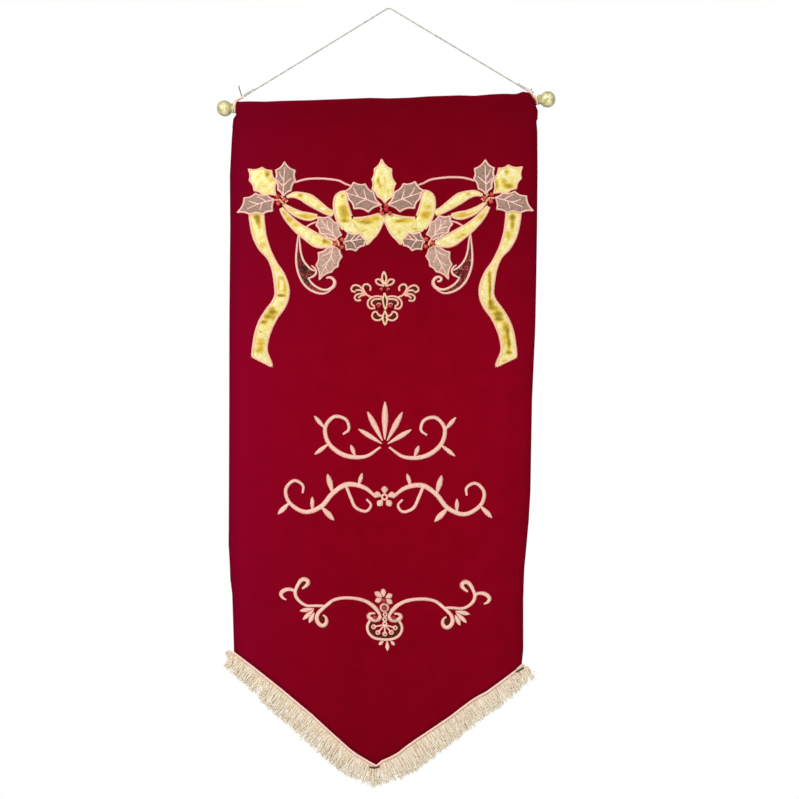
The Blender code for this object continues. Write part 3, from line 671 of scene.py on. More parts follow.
def panel_mesh():
    """Velvet sheet with its pocket, rounded hems, and its brightness by depth with painted shade at its
    edges.
    """
    section = pocket_section()
    across = rimmed(PANEL_FLAT[0], COLUMNS)
    down = rimmed(PANEL_FLAT[1], FALL_ROWS)[len(RIM_STEPS) + 2:]
    down = np.concatenate([[0.0], down])
    grid = [[pocket_point(s, *row) for s in across] for row in section]
    grid += [[fall_point(s, share) for s in across] for share in down]
    points = np.array(grid)
    normals = np.cross(np.gradient(points, axis=1), np.gradient(points, axis=0))
    normals /= np.linalg.norm(normals, axis=2, keepdims=True)
    steps = np.linalg.norm(np.diff(points, axis=0), axis=2)
    from_flap = np.concatenate([np.zeros((1, len(across))), np.cumsum(steps, axis=0)])
    from_v_edge = from_flap[-1] - from_flap
    from_side = np.minimum(across, 1 - across)[None, :] * PANEL_FLAT[0]
    to_edge = np.minimum(np.minimum(from_flap, from_v_edge), from_side)
    roundness = np.sqrt(1 - (1 - np.clip(to_edge / RIM_RADIUS, 0.0, 1.0)) ** 2)
    half = CLOTH_THICKNESS / 2 * np.maximum(roundness, RIM_LEAST)
    hem = np.minimum(from_side, from_v_edge)
    turned_back = HEM_RISE * np.clip((HEM_WIDTH + HEM_STEP - hem) / HEM_STEP, 0.0, 1.0) * roundness
    turned_back[:len(section)] = 0.0
    depth = -points[:, :, 2]
    falling = (np.arange(len(points)) >= len(section) - SLACK_ROWS)[:, None]
    trough = falling * SEAM_TROUGH * np.exp(-((depth - POCKET_DEPTH) / SEAM_TROUGH_WIDTH) ** 2)
    sides = np.broadcast_to(across, depth.shape)
    # Painted shade darkens the velvet along its side edges and along the roll of its V edge.
    bright = read_table(DEPTH_BRIGHTNESS, 1, depth) * (1 - read_table(EDGE_SHADE, 1, sides))
    bright *= 1 - V_SHADE * np.exp(-(from_v_edge / V_SHADE_WIDTH) ** 2)
    values = {"brightness_with_painted_shade": bright, "rose": read_table(ROSE, 1, sides)}
    points += np.array(BANNER)
    return shell(points, normals, half - trough, half + turned_back, values)


def own_value(tree, name):
    """Value that the piece's mesh carries."""
    return made(tree, "ShaderNodeAttribute", (), "Fac", attribute_name=name)


velvet, tree, shader = finish_material("velvet", 0.95, Specular_IOR_Level=0.02, Sheen_Weight=0.07,
                                       Sheen_Roughness=0.4, Sheen_Tint=dye(200, 10, 50))
pile = add_mottle(tree, dye(129, 1, 21), dye(121, 0, 17), 30.0)
rosy = blend_colours(tree, own_value(tree, "rose"), pile["Color"], dye(128, 1, 38))
# The dark red is mixed in by depth and as painted shade at the edges.
paint(tree, shader, blend_colours(tree, own_value(tree, "brightness_with_painted_shade"), dye(76, 0, 12), rosy))
add_fibres(tree, shader, 1500.0, 0.35, 0.0004)

panel = add_piece("velvet_pennant", panel_mesh(), velvet, "velvet", "panel")


# Fringe. A bought fringe of soft cream yarn is sewn under the V edge: a ladder-stitched heading with
# a pink cord laid along the seam, and cut twisted strands. One length runs down each side of the V.
OUT_OF_CLOTH = (0.0, -1.0, 0.0)
EDGE_GAP = 0.0004
HEADING_DEPTH = 0.0062
HEADING_HALF = 0.0005
HEADING_STEP = 0.0021
HEADING_RISE = 0.0011
LADDER_THREAD = 0.0019
LADDER_REACH = 0.35
PIPING_RADIUS = 0.0015
PIPING_LAY = 0.0048
PIPING_PLIES = 3
PIPING_START = {"left": 3, "right": 7}
PIPING_DROP = 0.0009
PIPING_OUT = 0.0020
TACK_RADIUS = 0.0015
# The two tacks at the V tip are brown stitches that also stand as painted shade in the dark gap where the
# two fringe lengths meet.
TACKS = (
    # fraction across, then the stitch from end to end, across and up from the cloth's edge there
    (0.5, (-0.0107, -0.0032), (-0.0022, -0.0046)),
    (0.5, (-0.0014, -0.004), (0.0052, -0.0018)),
    (1, (-0.0085, -0.014), (0.003, -0.0066)),
)
LINE_POINTS = 90
RUN_IN = (0.0, 0.33, 0.67)
STRAND_BITE = 0.002
MITRE_SHARE = 0.97
STRAND_SWAY = 0.07
STRAND_SWAY_RATE = 23.0
PARTING_TURN = 0.17
PARTING_WIDTH = 0.055
STRAND_SEED = 17
STRAND_SCATTER = 0.4
STRAND_FORWARD = 0.05
STRAND_SHIFT = 0.0005
STRAND_STEPS = 15
STRAND_TAPER = 0.35
STRAND_ROWS = (
    # distance behind the heading's middle, strands, share of the length, most turn aside
    (-0.001, 200, 0.97, 0.1), (0, 220, 1, 0.13), (0.001, 200, 0.94, 0.17),
)
STRAND_THICKNESS = (0.0008, 0.0012)
STRAND_CUT = 0.0028
STRAND_CRINKLE = 0.0028
STRAND_CRINKLE_SIZE = 170.0
CRINKLE_GROWTH = 0.8
CRINKLE_FULL = 3.0
ARCH_HANDLE = (0.92, 1.333)
ARCH_STEPS = 6
STITCH_SPREAD = (0.93, 1.07)
FRINGE_SIDES = {
    # side, where the strands part, where the heading ends from the cloth's corner
    "left": (-1, 0.25, (-0.0055, -0.0015)),
    "right": (1, 0.21, (0.006, -0.008)),
}
FRINGE_DEPTH = (
    # share of the way from the outer end to the tip, depth on the left, depth on the right,
    # lean on the left, lean on the right, where 1 is square to the edge and 0 is plumb
    (0, 0.0285, 0.0235, 0.45, 0.8), (0.12, 0.0305, 0.0285, 0.85, 0.9), (0.2, 0.032, 0.031, 0.9, 0.9),
    (0.3, 0.038, 0.0335, 0.9, 0.9), (0.55, 0.0395, 0.036, 0.9, 0.9), (0.75, 0.0395, 0.0415, 0.9, 0.9),
    (0.87, 0.039, 0.0405, 0.88, 0.88), (0.94, 0.0375, 0.0375, 0.6, 0.6), (1, 0.0355, 0.0355, 0, 0),
)
CURL_LOOPS = 7
CURL_SIZE = (0.0022, 0.0046)
CURL_THREAD = 0.0009
CURL_SCATTER = 0.0012
CURL_TILT = 0.35
CURL_POINTS = 17
STRAY_BOW = (0.5, -0.001, 0.35)
STRAY_POINTS = 9
STRAY_THREADS = {
    # side, then for each thread its end from the heading's outer end, across and down
    "left": ((-0.004, -0.012), (0.002, -0.016)),
    "right": ((0.016, -0.004), (0.009, -0.017), (0.013, -0.011)),
}


def v_line(outwards, end):
    """One side of the V edge from the heading's outer end to the tip, and the way square to it."""
    line = [fall_point(0.5 + outwards * (0.5 - 0.5 * share), 1.0)
            for share in np.linspace(0.0, 1.0, LINE_POINTS)]
    edge = (line[0] - line[-1]).normalized()
    line[-1].x += outwards * EDGE_GAP
    outer = line[0] + Vector((end[0], 0.0, end[1]))
    run_in = [outer.lerp(line[0], share) for share in RUN_IN]
    return run_in + line, Vector((outwards * edge.z, 0.0, -abs(edge.x))).normalized()


def beside(line, down, drop, out=0.0):
    """The V line moved off the cloth's edge by a drop, mitred at the tip."""
    moved = []
    for point in line:
        place = BANNER + point + down * drop
        if point is line[-1]:
            place = BANNER + point + Vector((0.0, 0.0, -drop / abs(down.z)))
        moved.append(place + Vector((0.0, -out, 0.0)))
    return moved


def strand_heading(share, outwards, slope, parting, swing):
    """Direction of a strand: square to the edge, plumb near the tip, parted at one place."""
    lean = read_table(FRINGE_DEPTH, 3 if outwards < 0 else 4, share)
    turn = slope * lean * (1.0 + STRAND_SWAY * math.sin(share * STRAND_SWAY_RATE))
    apart = math.exp(-((share - parting) / PARTING_WIDTH) ** 2)
    turn += math.copysign(PARTING_TURN, parting - share) * apart + swing
    return Vector((outwards * math.sin(turn), 0.0, -math.cos(turn)))


def strand_roots(line, down, outwards, parting, chance):
    """Points where the strands leave the heading, with each strand's way, length and thickness."""
    places = np.array([BANNER + point for point in line])
    lengths = lengths_along(places)
    slope = math.asin(abs(down.x))
    roots, ways, reaches, widths = [], [], [], []
    for behind, count, share_of_length, most in STRAND_ROWS:
        for order in range(count):
            scatter = chance.uniform(-STRAND_SCATTER, STRAND_SCATTER)
            share = min(max((order + 0.5 + scatter) / count, 0.0), 1.0)
            edge = [np.interp(share * lengths[-1], lengths, column) for column in places.T]
            heading = strand_heading(share, outwards, slope, parting, chance.gauss(0.0, most))
            heading.y = chance.gauss(0.0, STRAND_FORWARD)
            depth = read_table(FRINGE_DEPTH, 1 if outwards < 0 else 2, share)
            mitre = max(0.0, (share - MITRE_SHARE) / (1 - MITRE_SHARE))
            drop = down.lerp(Vector((0.0, 0.0, -1 / abs(down.z))), mitre)
            root = Vector(edge) + drop * (EDGE_GAP + HEADING_DEPTH - STRAND_BITE)
            shift = chance.uniform(-STRAND_SHIFT, STRAND_SHIFT)
            roots.append(root + Vector((0.0, behind + shift, 0.0)))
            ways.append(heading.normalized())
            reaches.append(depth * share_of_length - (HEADING_DEPTH - STRAND_BITE)
                           + chance.gauss(0.0, STRAND_CUT / 2))
            widths.append(chance.uniform(*STRAND_THICKNESS))
    return roots, ways, reaches, widths


def point_mesh(points, values, edges=()):
    """Mesh of loose points or lines that carry values for a Geometry Nodes tree."""
    mesh = bpy.data.meshes.new("points")
    mesh.from_pydata(points, list(edges), [])
    for name, numbers in values.items():
        if np.ndim(numbers) == 2:
            layer = mesh.attributes.new(name, "FLOAT_VECTOR", "POINT")
            layer.data.foreach_set("vector", np.ravel(numbers))
        else:
            layer = mesh.attributes.new(name, "FLOAT", "POINT")
            layer.data.foreach_set("value", np.array(numbers, dtype=float))
    return mesh


def shape_tree(name, inputs):
    """Geometry Nodes tree with a geometry input and output and named inputs for its sizes."""
    tree = bpy.data.node_groups.new(name, "GeometryNodeTree")
    tree.interface.new_socket("Geometry", in_out="INPUT", socket_type="NodeSocketGeometry")
    for label, kind in inputs:
        tree.interface.new_socket(label, in_out="INPUT", socket_type="NodeSocket" + kind)
    tree.interface.new_socket("Geometry", in_out="OUTPUT", socket_type="NodeSocketGeometry")
    return tree, tree.nodes.new("NodeGroupInput").outputs, tree.nodes.new("NodeGroupOutput")


def carried(tree, name, data_type="FLOAT"):
    """Value that the points carry, inside a Geometry Nodes tree."""
    return made(tree, "GeometryNodeInputNamedAttribute", {"Name": name}, "Attribute",
                data_type=data_type)


def stored(tree, geometry, name, value, domain):
    """Geometry with a value stored on it."""
    return made(tree, "GeometryNodeStoreNamedAttribute",
                {"Geometry": geometry, "Name": name, "Value": value},
                data_type="FLOAT", domain=domain)


def chance_value(tree, low, high, seed):
    """Random value for each point or instance."""
    return made(tree, "FunctionNodeRandomValue", {2: low, 3: high, "Seed": seed}, 1,
                data_type="FLOAT")


def thread_form(tree, curve, sides, radius, scale):
    """Thread along a curve, its ends capped."""
    profile = made(tree, "GeometryNodeCurvePrimitiveCircle", {"Resolution": sides, "Radius": radius})
    return made(tree, "GeometryNodeCurveToMesh",
                {"Curve": curve, "Profile Curve": profile, "Scale": scale, "Fill Caps": True})


def set_out(tree, points, form, upright, forward, size, seed):
    """Copies of a form on points, turned to two directions and sized, each with its own shade."""
    turn = made(tree, "FunctionNodeAxesToRotation",
                {"Primary Axis": upright, "Secondary Axis": forward},
                primary_axis="Z", secondary_axis="Y")
    copies = made(tree, "GeometryNodeInstanceOnPoints",
                  {"Points": points, "Instance": form, "Rotation": turn,
                   "Scale": made(tree, "ShaderNodeCombineXYZ", enumerate(size))})
    return stored(tree, copies, "shade", chance_value(tree, 0.0, 1.0, seed), "INSTANCE")


def finished(tree, geometry, material, end):
    """Lead smooth-shaded geometry in its material out of a tree."""
    shaded = made(tree, "GeometryNodeSetShadeSmooth", {"Geometry": geometry})
    dressed = made(tree, "GeometryNodeSetMaterial", {"Geometry": shaded, "Material": material})
    tree.links.new(dressed, end.inputs["Geometry"])
    return tree


def grown(tree, name, mesh, material, **inputs):
    """Plain mesh that a Geometry Nodes tree makes from a mesh."""
    holder = bpy.data.objects.new(name, mesh)
    scene.collection.objects.link(holder)
    modifier = holder.modifiers.new(name, "NODES")
    modifier.node_group = tree
    for socket in tree.interface.items_tree:
        label = socket.name.replace(" ", "_")
        if socket.in_out == "INPUT" and label in inputs:
            modifier[socket.identifier] = inputs[label]
        if socket.in_out == "INPUT" and socket.name == "Material":
            modifier[socket.identifier] = material
    result = plain_mesh(holder)
    bpy.data.meshes.remove(mesh)
    return result


def strand_tree():
    """Cut strands of yarn on their root points, tapering and crinkled."""
    tree, start, end = shape_tree("Fringe strands", [
        ("Crinkle", "Float"), ("Crinkle Size", "Float"), ("Material", "Material")])
    line = made(tree, "GeometryNodeCurvePrimitiveLine", {"Start": (0, 0, 0), "End": (0, 0, 1)})
    steps = made(tree, "GeometryNodeResampleCurve", {"Curve": line, "Count": STRAND_STEPS})
    way_down = made(tree, "GeometryNodeSplineParameter")
    slim = reckon(tree, "SUBTRACT", 1.0, reckon(tree, "MULTIPLY", way_down, STRAND_TAPER))
    strand = thread_form(tree, stored(tree, steps, "along", way_down, "POINT"), 4, 1.0, slim)
    width = carried(tree, "width")
    strands = set_out(tree, start["Geometry"], strand, carried(tree, "way", "FLOAT_VECTOR"),
                      FRONT_TO_BACK, (width, width, carried(tree, "reach")), 4)
    drawn = stored(tree, strands, "drift", chance_value(tree, 0.0, 9.0, 5), "INSTANCE")
    real = made(tree, "GeometryNodeRealizeInstances", {"Geometry": drawn})
    clouds = made(tree, "ShaderNodeTexNoise",
                  {"Vector": made(tree, "GeometryNodeInputPosition"), "W": carried(tree, "drift"),
                   "Scale": start["Crinkle Size"], "Detail": 2.0}, "Color", noise_dimensions="4D")
    swing = made(tree, "ShaderNodeVectorMath", {0: clouds, 1: (0.5, 0.5, 0.5)}, operation="SUBTRACT")
    reach = reckon(tree, "MULTIPLY", reckon(tree, "POWER", carried(tree, "along"), CRINKLE_GROWTH),
                   reckon(tree, "MULTIPLY", start["Crinkle"], CRINKLE_FULL))
    offset = made(tree, "ShaderNodeVectorMath", {0: swing, "Scale": reach}, operation="SCALE")
    crinkled = made(tree, "GeometryNodeSetPosition", {"Geometry": real, "Offset": offset})
    return finished(tree, crinkled, start["Material"], end)


def satin_tree():
    """Stitches laid side by side across a line, each an arch of thread as wide as the line says."""
    tree, start, end = shape_tree("Satin stitch", [
        ("Spacing", "Float"), ("Thread", "Float"), ("Seed", "Int"), ("Material", "Material")])
    curve = made(tree, "GeometryNodeMeshToCurve", {"Mesh": start["Geometry"]})
    steps = made(tree, "GeometryNodeResampleCurve", {"Curve": curve, "Length": start["Spacing"]},
                 mode="LENGTH")
    points = add_node(tree, "GeometryNodeCurveToPoints", {"Curve": steps}, mode="EVALUATED").outputs
    side, height = ARCH_HANDLE
    bow = made(tree, "GeometryNodeCurvePrimitiveBezierSegment",
               {"Start": (-1, 0, 0), "Start Handle": (-side, 0, height),
                "End Handle": (side, 0, height), "End": (1, 0, 0)})
    arch = made(tree, "GeometryNodeResampleCurve", {"Curve": bow, "Count": ARCH_STEPS})
    across = reckon(tree, "MULTIPLY", made(tree, "GeometryNodeSplineParameter"), 2.0)
    from_crown = reckon(tree, "ABSOLUTE", reckon(tree, "SUBTRACT", across, 1.0))
    # How near each point lies to the stitch's crown, stored for the thread's painted highlight.
    marked = stored(tree, arch, "crown", reckon(tree, "SUBTRACT", 1.0, from_crown), "POINT")
    stitch = thread_form(tree, marked, 3, 0.5, 0.5)
    width = reckon(tree, "MULTIPLY", carried(tree, "breadth"),
                   chance_value(tree, *STITCH_SPREAD, start["Seed"]))
    thread = reckon(tree, "MULTIPLY", start["Thread"], 2.0)
    stitches = set_out(tree, points["Points"], stitch, OUT_OF_CLOTH, points["Tangent"],
                       (width, thread, carried(tree, "rise")), start["Seed"])
    real = made(tree, "GeometryNodeRealizeInstances", {"Geometry": stitches})
    return finished(tree, real, start["Material"], end)


SATIN_TREE = satin_tree()
STRAND_TREE = strand_tree()


def fringe_material():
    """Soft cream rayon yarn, its random tan strands and darker roots a painted shade between the strands
    and under the heading, pale at the cut ends.
    """
    material, tree, shader = finish_material("fringe yarn", 0.6, Specular_IOR_Level=0.3,
                                             Sheen_Weight=0.3)
    # Painted shade: each strand gets a random tan, and keeps it at the root while its cut end turns pale.
    yarn = blend_colours(tree, own_value(tree, "shade"), dye(236, 210, 180), dye(255, 252, 238))
    ends = blend_colours(tree, own_value(tree, "along"), yarn, dye(250, 244, 228))
    clouds = add_mottle(tree, dye(255, 255, 255), dye(226, 212, 192), 640.0, 0.16)
    paint(tree, shader, blend_colours(tree, 1.0, ends, clouds["Color"], "MULTIPLY"))
    add_fibres(tree, shader, 1100.0, 0.6, 0.0003)
    return material


def loose_loops(centre, count, chance):
    """Routes of little loops of yarn gathered round a point."""
    routes = []
    for loop in range(count):
        size = chance.uniform(*CURL_SIZE)
        spin = Matrix.Rotation(chance.uniform(0, math.pi), 3, "Y")
        tilt = Matrix.Rotation(chance.gauss(math.pi / 2, CURL_TILT), 3, "X")
        shift = Vector([chance.gauss(0.0, CURL_SCATTER) for axis in range(3)])
        routes.append([centre + shift + spin @ tilt @ Vector((size * math.cos(a), size * math.sin(a), 0))
                       for a in np.linspace(0, 2 * math.pi, CURL_POINTS)])
    return routes


FRINGE_YARN = fringe_material()
PINK_PIPING = yarn_material("pink piping", dye(255, 222, 210), dye(248, 190, 178), 0.6, 400.0)
TACK_AND_GAP_SHADE_THREAD = yarn_material("brown tack and gap shade thread", dye(96, 58, 26), dye(52, 28, 10), 0.7, 400.0)
fringe_pieces = []

for side, (outwards, parting, end) in FRINGE_SIDES.items():
    chance = random.Random(STRAND_SEED + outwards)
    line, down = v_line(outwards, end)
    roots, ways, reaches, widths = strand_roots(line, down, outwards, parting, chance)
    strands = grown(STRAND_TREE, "strands", point_mesh(
        roots, {"way": ways, "reach": reaches, "width": widths}), FRINGE_YARN,
        Crinkle=STRAND_CRINKLE, Crinkle_Size=STRAND_CRINKLE_SIZE)
    upper = beside(line, down, EDGE_GAP)
    lower = beside(line, down, EDGE_GAP + HEADING_DEPTH)
    band = np.array([upper, lower])
    half = np.full(band.shape[:2], HEADING_HALF)
    backing = shell(band, np.array(OUT_OF_CLOTH), half, half, {"shade": np.full(band.shape[:2], 0.1)})
    middle = beside(line, down, EDGE_GAP + HEADING_DEPTH / 2)
    edges = [(step, step + 1) for step in range(len(middle) - 1)]
    ladder = grown(SATIN_TREE, "ladder", point_mesh(
        middle, {"breadth": np.full(len(middle), HEADING_DEPTH * LADDER_REACH),
                 "rise": np.full(len(middle), HEADING_RISE)}, edges),
        FRINGE_YARN, Spacing=HEADING_STEP, Thread=LADDER_THREAD, Seed=3)
    seam = beside(line[PIPING_START[side]:], down, PIPING_DROP, PIPING_OUT)
    plies, ply_radius = laid_plies(seam, PIPING_RADIUS, PIPING_LAY, plies=PIPING_PLIES)
    piping = tubes("piping", plies, ply_radius, 1)
    curl = BANNER + line[0] + down * HEADING_DEPTH / 2
    loops = tubes("loops", loose_loops(curl, CURL_LOOPS, chance), CURL_THREAD / 2, 1, closed=True)
    strays = []
    for across, drop in STRAY_THREADS[side]:
        bow = Vector((across * STRAY_BOW[0], STRAY_BOW[1], drop * STRAY_BOW[2]))
        strays.append(smooth([curl, curl + bow, curl + Vector((across, 0.0, drop))], STRAY_POINTS))
    threads = tubes("threads", strays, CURL_THREAD / 3, 0)
    fringe_pieces += [
        add_piece("fringe_" + side + "_yarn", joined([strands, backing, ladder, loops, threads]),
                  FRINGE_YARN, "fringe", "fringe_" + side),
        add_piece("fringe_" + side + "_piping", joined([piping]), PINK_PIPING, "fringe"),
    ]

tacks = []
for across, start, stop in TACKS:
    corner = BANNER + fall_point(across, 1.0)
    tacks.append([corner + Vector((place[0], -PIPING_OUT, place[1])) for place in (start, stop)])
fringe_pieces.append(add_piece("fringe_tacks", joined([tubes("tacks", tacks, TACK_RADIUS)]),
                               TACK_AND_GAP_SHADE_THREAD))


# Holly leaves. Each is cut from cloth, three of gold lame and twelve of mauve organza, laid over a
# little padding and sewn down round its spiked edge. The organza ones have stitched veins.
MM = 0.001
RIGHT_SHIFT = 4.0
RIGHT_RISE = 0.018
RIGHT_MOST = 3.0
LEAF_ROWS = 41
LEAF_COLUMNS = 13
LEAF_HOLLOW = 0.11
SPAN_POINTS = 8
SHEET_HALF = 0.00012
EDGE_LIFT = {1: 0.30, 2: 1.60}
CROWN_LIFT = {1: 1.25, 2: 2.65}
PUCKER = 0.35
PUCKER_SIZE = 0.15
PUCKER_LAYER = 3.0
TONE_LAYER = 9.0
TONE_BASE = 0.12
TONE_CLOUDS = 0.16
OUTLINE_WIDTH = 3.0
OUTLINE_RISE = {1: 1.6, 2: 2.7}
EDGE_INSET = 1.4
STITCH_STEP = 0.00085
STITCH_THREAD = 0.0010
VEIN_WIDTH = 2.3
VEIN_RISE = 1.1
VEIN_STEP = 1.5
VEIN_TAPER = 0.7
VEIN_SINK = 0.4
LEAST_WIDTH = 0.6
LEAVES = {
    # layer, cloth, how pale, tip, spikes on its two sides, base, veins, all in millimetres
    "centre_gold": (1, "lame", 0, (-6.5, -89.5), ((9.5, -104.5), (16.5, -127.5), (14, -147.5)),
        ((-18, -104), (-22, -120.5), (-21.5, -137), (-12.5, -148)), (-1, -158), ()),
    "centre_side": (2, "organza", 0.15, (-64, -139), ((-50, -124.5), (-31, -127), (-17, -140)),
        ((-57.5, -151.5), (-49, -166.5), (-25.5, -171.5)), (-5, -160.5),
        (((-8, -159.5), (-20, -155), (-32, -150.5), (-46, -146), (-60, -141.5)),
        ((-29, -151.5), (-31.5, -144), (-33, -137)), ((-41, -147.5), (-45.5, -141), (-48.5, -134)),
        ((-31, -152), (-38, -155), (-45, -160)))),
    "top_gold": (1, "lame", 0, (-212.5, -104.5), ((-190.5, -101.5), (-175, -106.5), (-167, -124)),
        ((-211.5, -122), (-204, -138.5), (-188, -147)), (-168, -146), ()),
    "top_up": (2, "organza", 0.12, (-155.5, -93.5), ((-138.4, -106.8), (-137.4, -123.3), (-145, -139)),
        ((-170, -106), (-171, -121.5), (-166.5, -138)), (-157.5, -148),
        (((-157.5, -145), (-156.8, -128), (-155, -103)), ((-156.8, -122), (-161, -116.5), (-163.5, -110)),
        ((-157.2, -131), (-162.5, -127), (-166, -122)), ((-156.5, -130), (-151, -125), (-145, -119.5)))),
    "top_side": (2, "organza", 0.2, (-230, -171.5), ((-219.5, -148.5), (-201, -141), (-182, -143.5)),
        ((-210, -175.5), (-189, -175), (-173, -169.5)), (-170, -151),
        (((-172, -152), (-184, -155), (-196, -158.5), (-213, -166)),
        ((-184, -155), (-191, -150.5), (-198, -147.5)), ((-195, -158.3), (-203, -157), (-210, -154)),
        ((-190, -157), (-192, -162), (-193.5, -168)))),
    "low_up": (2, "organza", 0.5, (-104, -177), ((-86, -176), (-71, -188), (-66, -206)),
        ((-108, -190), (-101.5, -204), (-88, -212.5)), (-76, -215.5),
        (((-75, -212), (-84, -200), (-97, -185)), ((-80, -204), (-81.5, -195), (-81, -187)),
        ((-87, -197), (-89, -190), (-89, -184)), ((-79, -207), (-87, -204.5), (-94, -203)),
        ((-86, -198.5), (-93, -195.5), (-100, -195)))),
    "low_down": (2, "organza", 0.5, (-102, -275),
        ((-82, -263.5), (-71.5, -254), (-65.5, -238), (-69.5, -227)),
        ((-107.8, -252), (-104, -232), (-88, -223)), (-78, -221),
        (((-80, -224), (-83.5, -238), (-92, -255), (-99.5, -268)), ((-83, -236), (-81, -243), (-78, -249)),
        ((-84.5, -242), (-91, -249), (-97.5, -254)), ((-91.5, -254), (-90, -258), (-87, -261.5)),
        ((-82, -230), (-89, -235), (-97, -238)))),
    "low_side": (2, "organza", 0, (-28, -213), ((-38, -201.5), (-58, -200.5)),
        ((-31, -222), (-45.5, -231), (-61, -229)), (-66.5, -215),
        (((-63, -215.5), (-50, -214), (-36, -212)), ((-53, -214), (-49, -209), (-46, -205)),
        ((-46, -213.5), (-41, -208), (-37, -204.5)), ((-52, -215), (-48, -219), (-45, -225)))),
}
GLINTS = (
    # painted reflection and shade, dark in the folds of the gold cloth: x, z, reach across, reach down,
    # depth
    (-182.5, -112.5, 4, 6, 0.8), (-177, -121, 4, 4, 0.4), (-185, -131, 8, 2, 0.25),
    (-11.5, -123, 2, 7, 0.75), (-7.5, -131, 2, 5, 0.5), (-1, -127, 2, 12, 0.3), (4, -139, 2, 5, 0.3),
    (-131, -145, 4, 3, 0.6), (-101, -162, 5, 2, 0.2), (-88, -170, 8, 4, 0.3), (-146, -168, 8, 4, 0.3),
    (-118, -177, 20, 5, 0.42), (-156, -172, 7, 4, 0.45), (-148, -181, 7, 5, 0.6), (-138, -190, 5, 4, 0.4),
    (-94, -215, 4, 4, 0.75), (-87, -217, 4, 4, 0.55), (-66, -146, 3, 3, 0.5), (-65, -165, 7, 5, 0.6),
    (-63, -175, 8, 7, 0.55), (-62, -184, 7, 3, 0.6), (-30, -182, 17, 3, 0.45), (-30, -186.5, 12, 2, 0.9),
    (-14, -179, 8, 4, 0.45), (-35, -200, 3, 2, 0.4), (-12, -191, 3, 5, 0.2), (184, -110, 3, 4, 0.6),
    (187, -131, 7, 4, 0.85), (180, -124, 4, 4, 0.4), (169, -128, 3, 8, 0.7), (127, -143, 4, 3, 0.45),
    (100, -160, 6, 2, 0.25), (122, -175, 20, 5, 0.42), (150, -178, 9, 5, 0.45), (119, -205, 4, 2, 0.6),
    (112, -209, 4, 2, 0.5), (62, -175, 8, 6, 0.6), (65, -163, 7, 4, 0.35), (30, -183, 14, 3, 0.5),
    (20, -184.5, 7, 2, 0.6), (45, -196, 5, 2, 0.45), (22, -200, 4, 3, 0.35), (-199, -178, 6, 4, 0.95),
    (-197, -185, 4, 5, 0.9), (-195, -194, 2, 5, 0.4), (-190, -221, 6, 5, 0.25), (-159, -272, 6, 3, 0.45),
    (-165, -284, 2, 12, 0.4), (-155, -284, 3, 12, 0.45), (-161, -298.5, 7, 2.5, 0.9),
    (-176, -318, 6, 3, 0.6), (-175, -324, 8, 4, 0.9), (-184, -331, 7, 4, 0.85), (-189, -339.5, 7, 3, 0.95),
    (-173, -333, 5, 4, 0.6), (-194, -355, 4, 1.2, 0.75), (-193, -367, 7, 2, 0.4), (-193, -373, 7, 3, 0.5),
    (-195, -384, 6, 4, 0.6), (-193, -379, 6, 3, 0.35), (194, -178, 5, 5, 0.9), (194, -190, 3, 7, 0.8),
    (188, -205, 4, 7, 0.45), (160, -268, 3, 9, 0.65), (161, -290, 2, 16, 0.9), (163, -308, 5, 5, 0.75),
    (166, -316, 8, 4, 0.8), (174, -325, 8, 5, 0.85), (176, -333, 8, 3, 0.9), (186, -345, 6, 7, 0.6),
    (189, -355, 3, 9, 0.7), (191, -370, 3, 9, 0.9), (191, -384, 5, 3, 0.95), (186, -398, 5, 3, 0.65),
    (184, -365, 3, 12, 0.3),
)


def on_cloth(x, z, out=0.0):
    """Point over the front of the hanging cloth, all in millimetres."""
    x, z = x * MM, z * MM
    return BANNER + Vector((x, wave(x, z) - CLOTH_THICKNESS / 2 - out * MM, z))


def satin(name, strokes, material, seed, step=STITCH_STEP, thread=STITCH_THREAD):
    """Satin stitch along strokes, each a row of (x, z, width, lift off the cloth) and a rise."""
    points, breadths, rises, edges = [], [], [], []
    for rows, rise, closed in strokes:
        first = len(points)
        for x, z, width, lift in rows:
            points.append(on_cloth(x, z, lift))
            breadths.append(width / 2 * MM)
            rises.append(rise * MM)
        edges += [(spot, spot + 1) for spot in range(first, len(points) - 1)]
        if closed:
            edges.append((len(points) - 1, first))
    mesh = point_mesh(points, {"breadth": breadths, "rise": rises}, edges)
    stitches = grown(SATIN_TREE, name, mesh, material, Spacing=step, Thread=thread, Seed=seed)
    return add_piece(name, stitches, material)


def flowing(rows, rise, lift=0.0, step=VEIN_STEP):
    """Stroke of satin stitch that flows smoothly through rows of (x, z, width)."""
    length = sum(math.dist(a[:2], b[:2]) for a, b in zip(rows, rows[1:]))
    line = smooth(rows, max(3, round(length / step)))
    return [(x, z, max(width, LEAST_WIDTH), lift) for x, z, width in line], rise, False


def on_side(side, rows):
    """Rows of (x, z, ...) as they are on the left, or as their twins are on the right."""
    if side == "left":
        return [tuple(row) for row in rows]
    return [(-row[0] - RIGHT_SHIFT, row[1] + min(RIGHT_MOST, RIGHT_RISE * abs(row[0])), *row[2:])
            for row in rows]


def hollowed(spots, heart, inset):
    """Edge through a leaf's spikes, hollow between them and set in a little from its outside."""
    line = []
    for start, end in zip(spots, spots[1:]):
        start, end = Vector(start), Vector(end)
        square = Vector((start.y - end.y, end.x - start.x))
        if square.dot(heart - (start + end) / 2) < 0:
            square = -square
        for t in np.linspace(0.0, 1.0, SPAN_POINTS, endpoint=False):
            line.append(start.lerp(end, t) + square * LEAF_HOLLOW * 4 * t * (1 - t))
    line.append(Vector(spots[-1]))
    return [tuple(spot + (heart - spot).normalized() * inset) for spot in line]


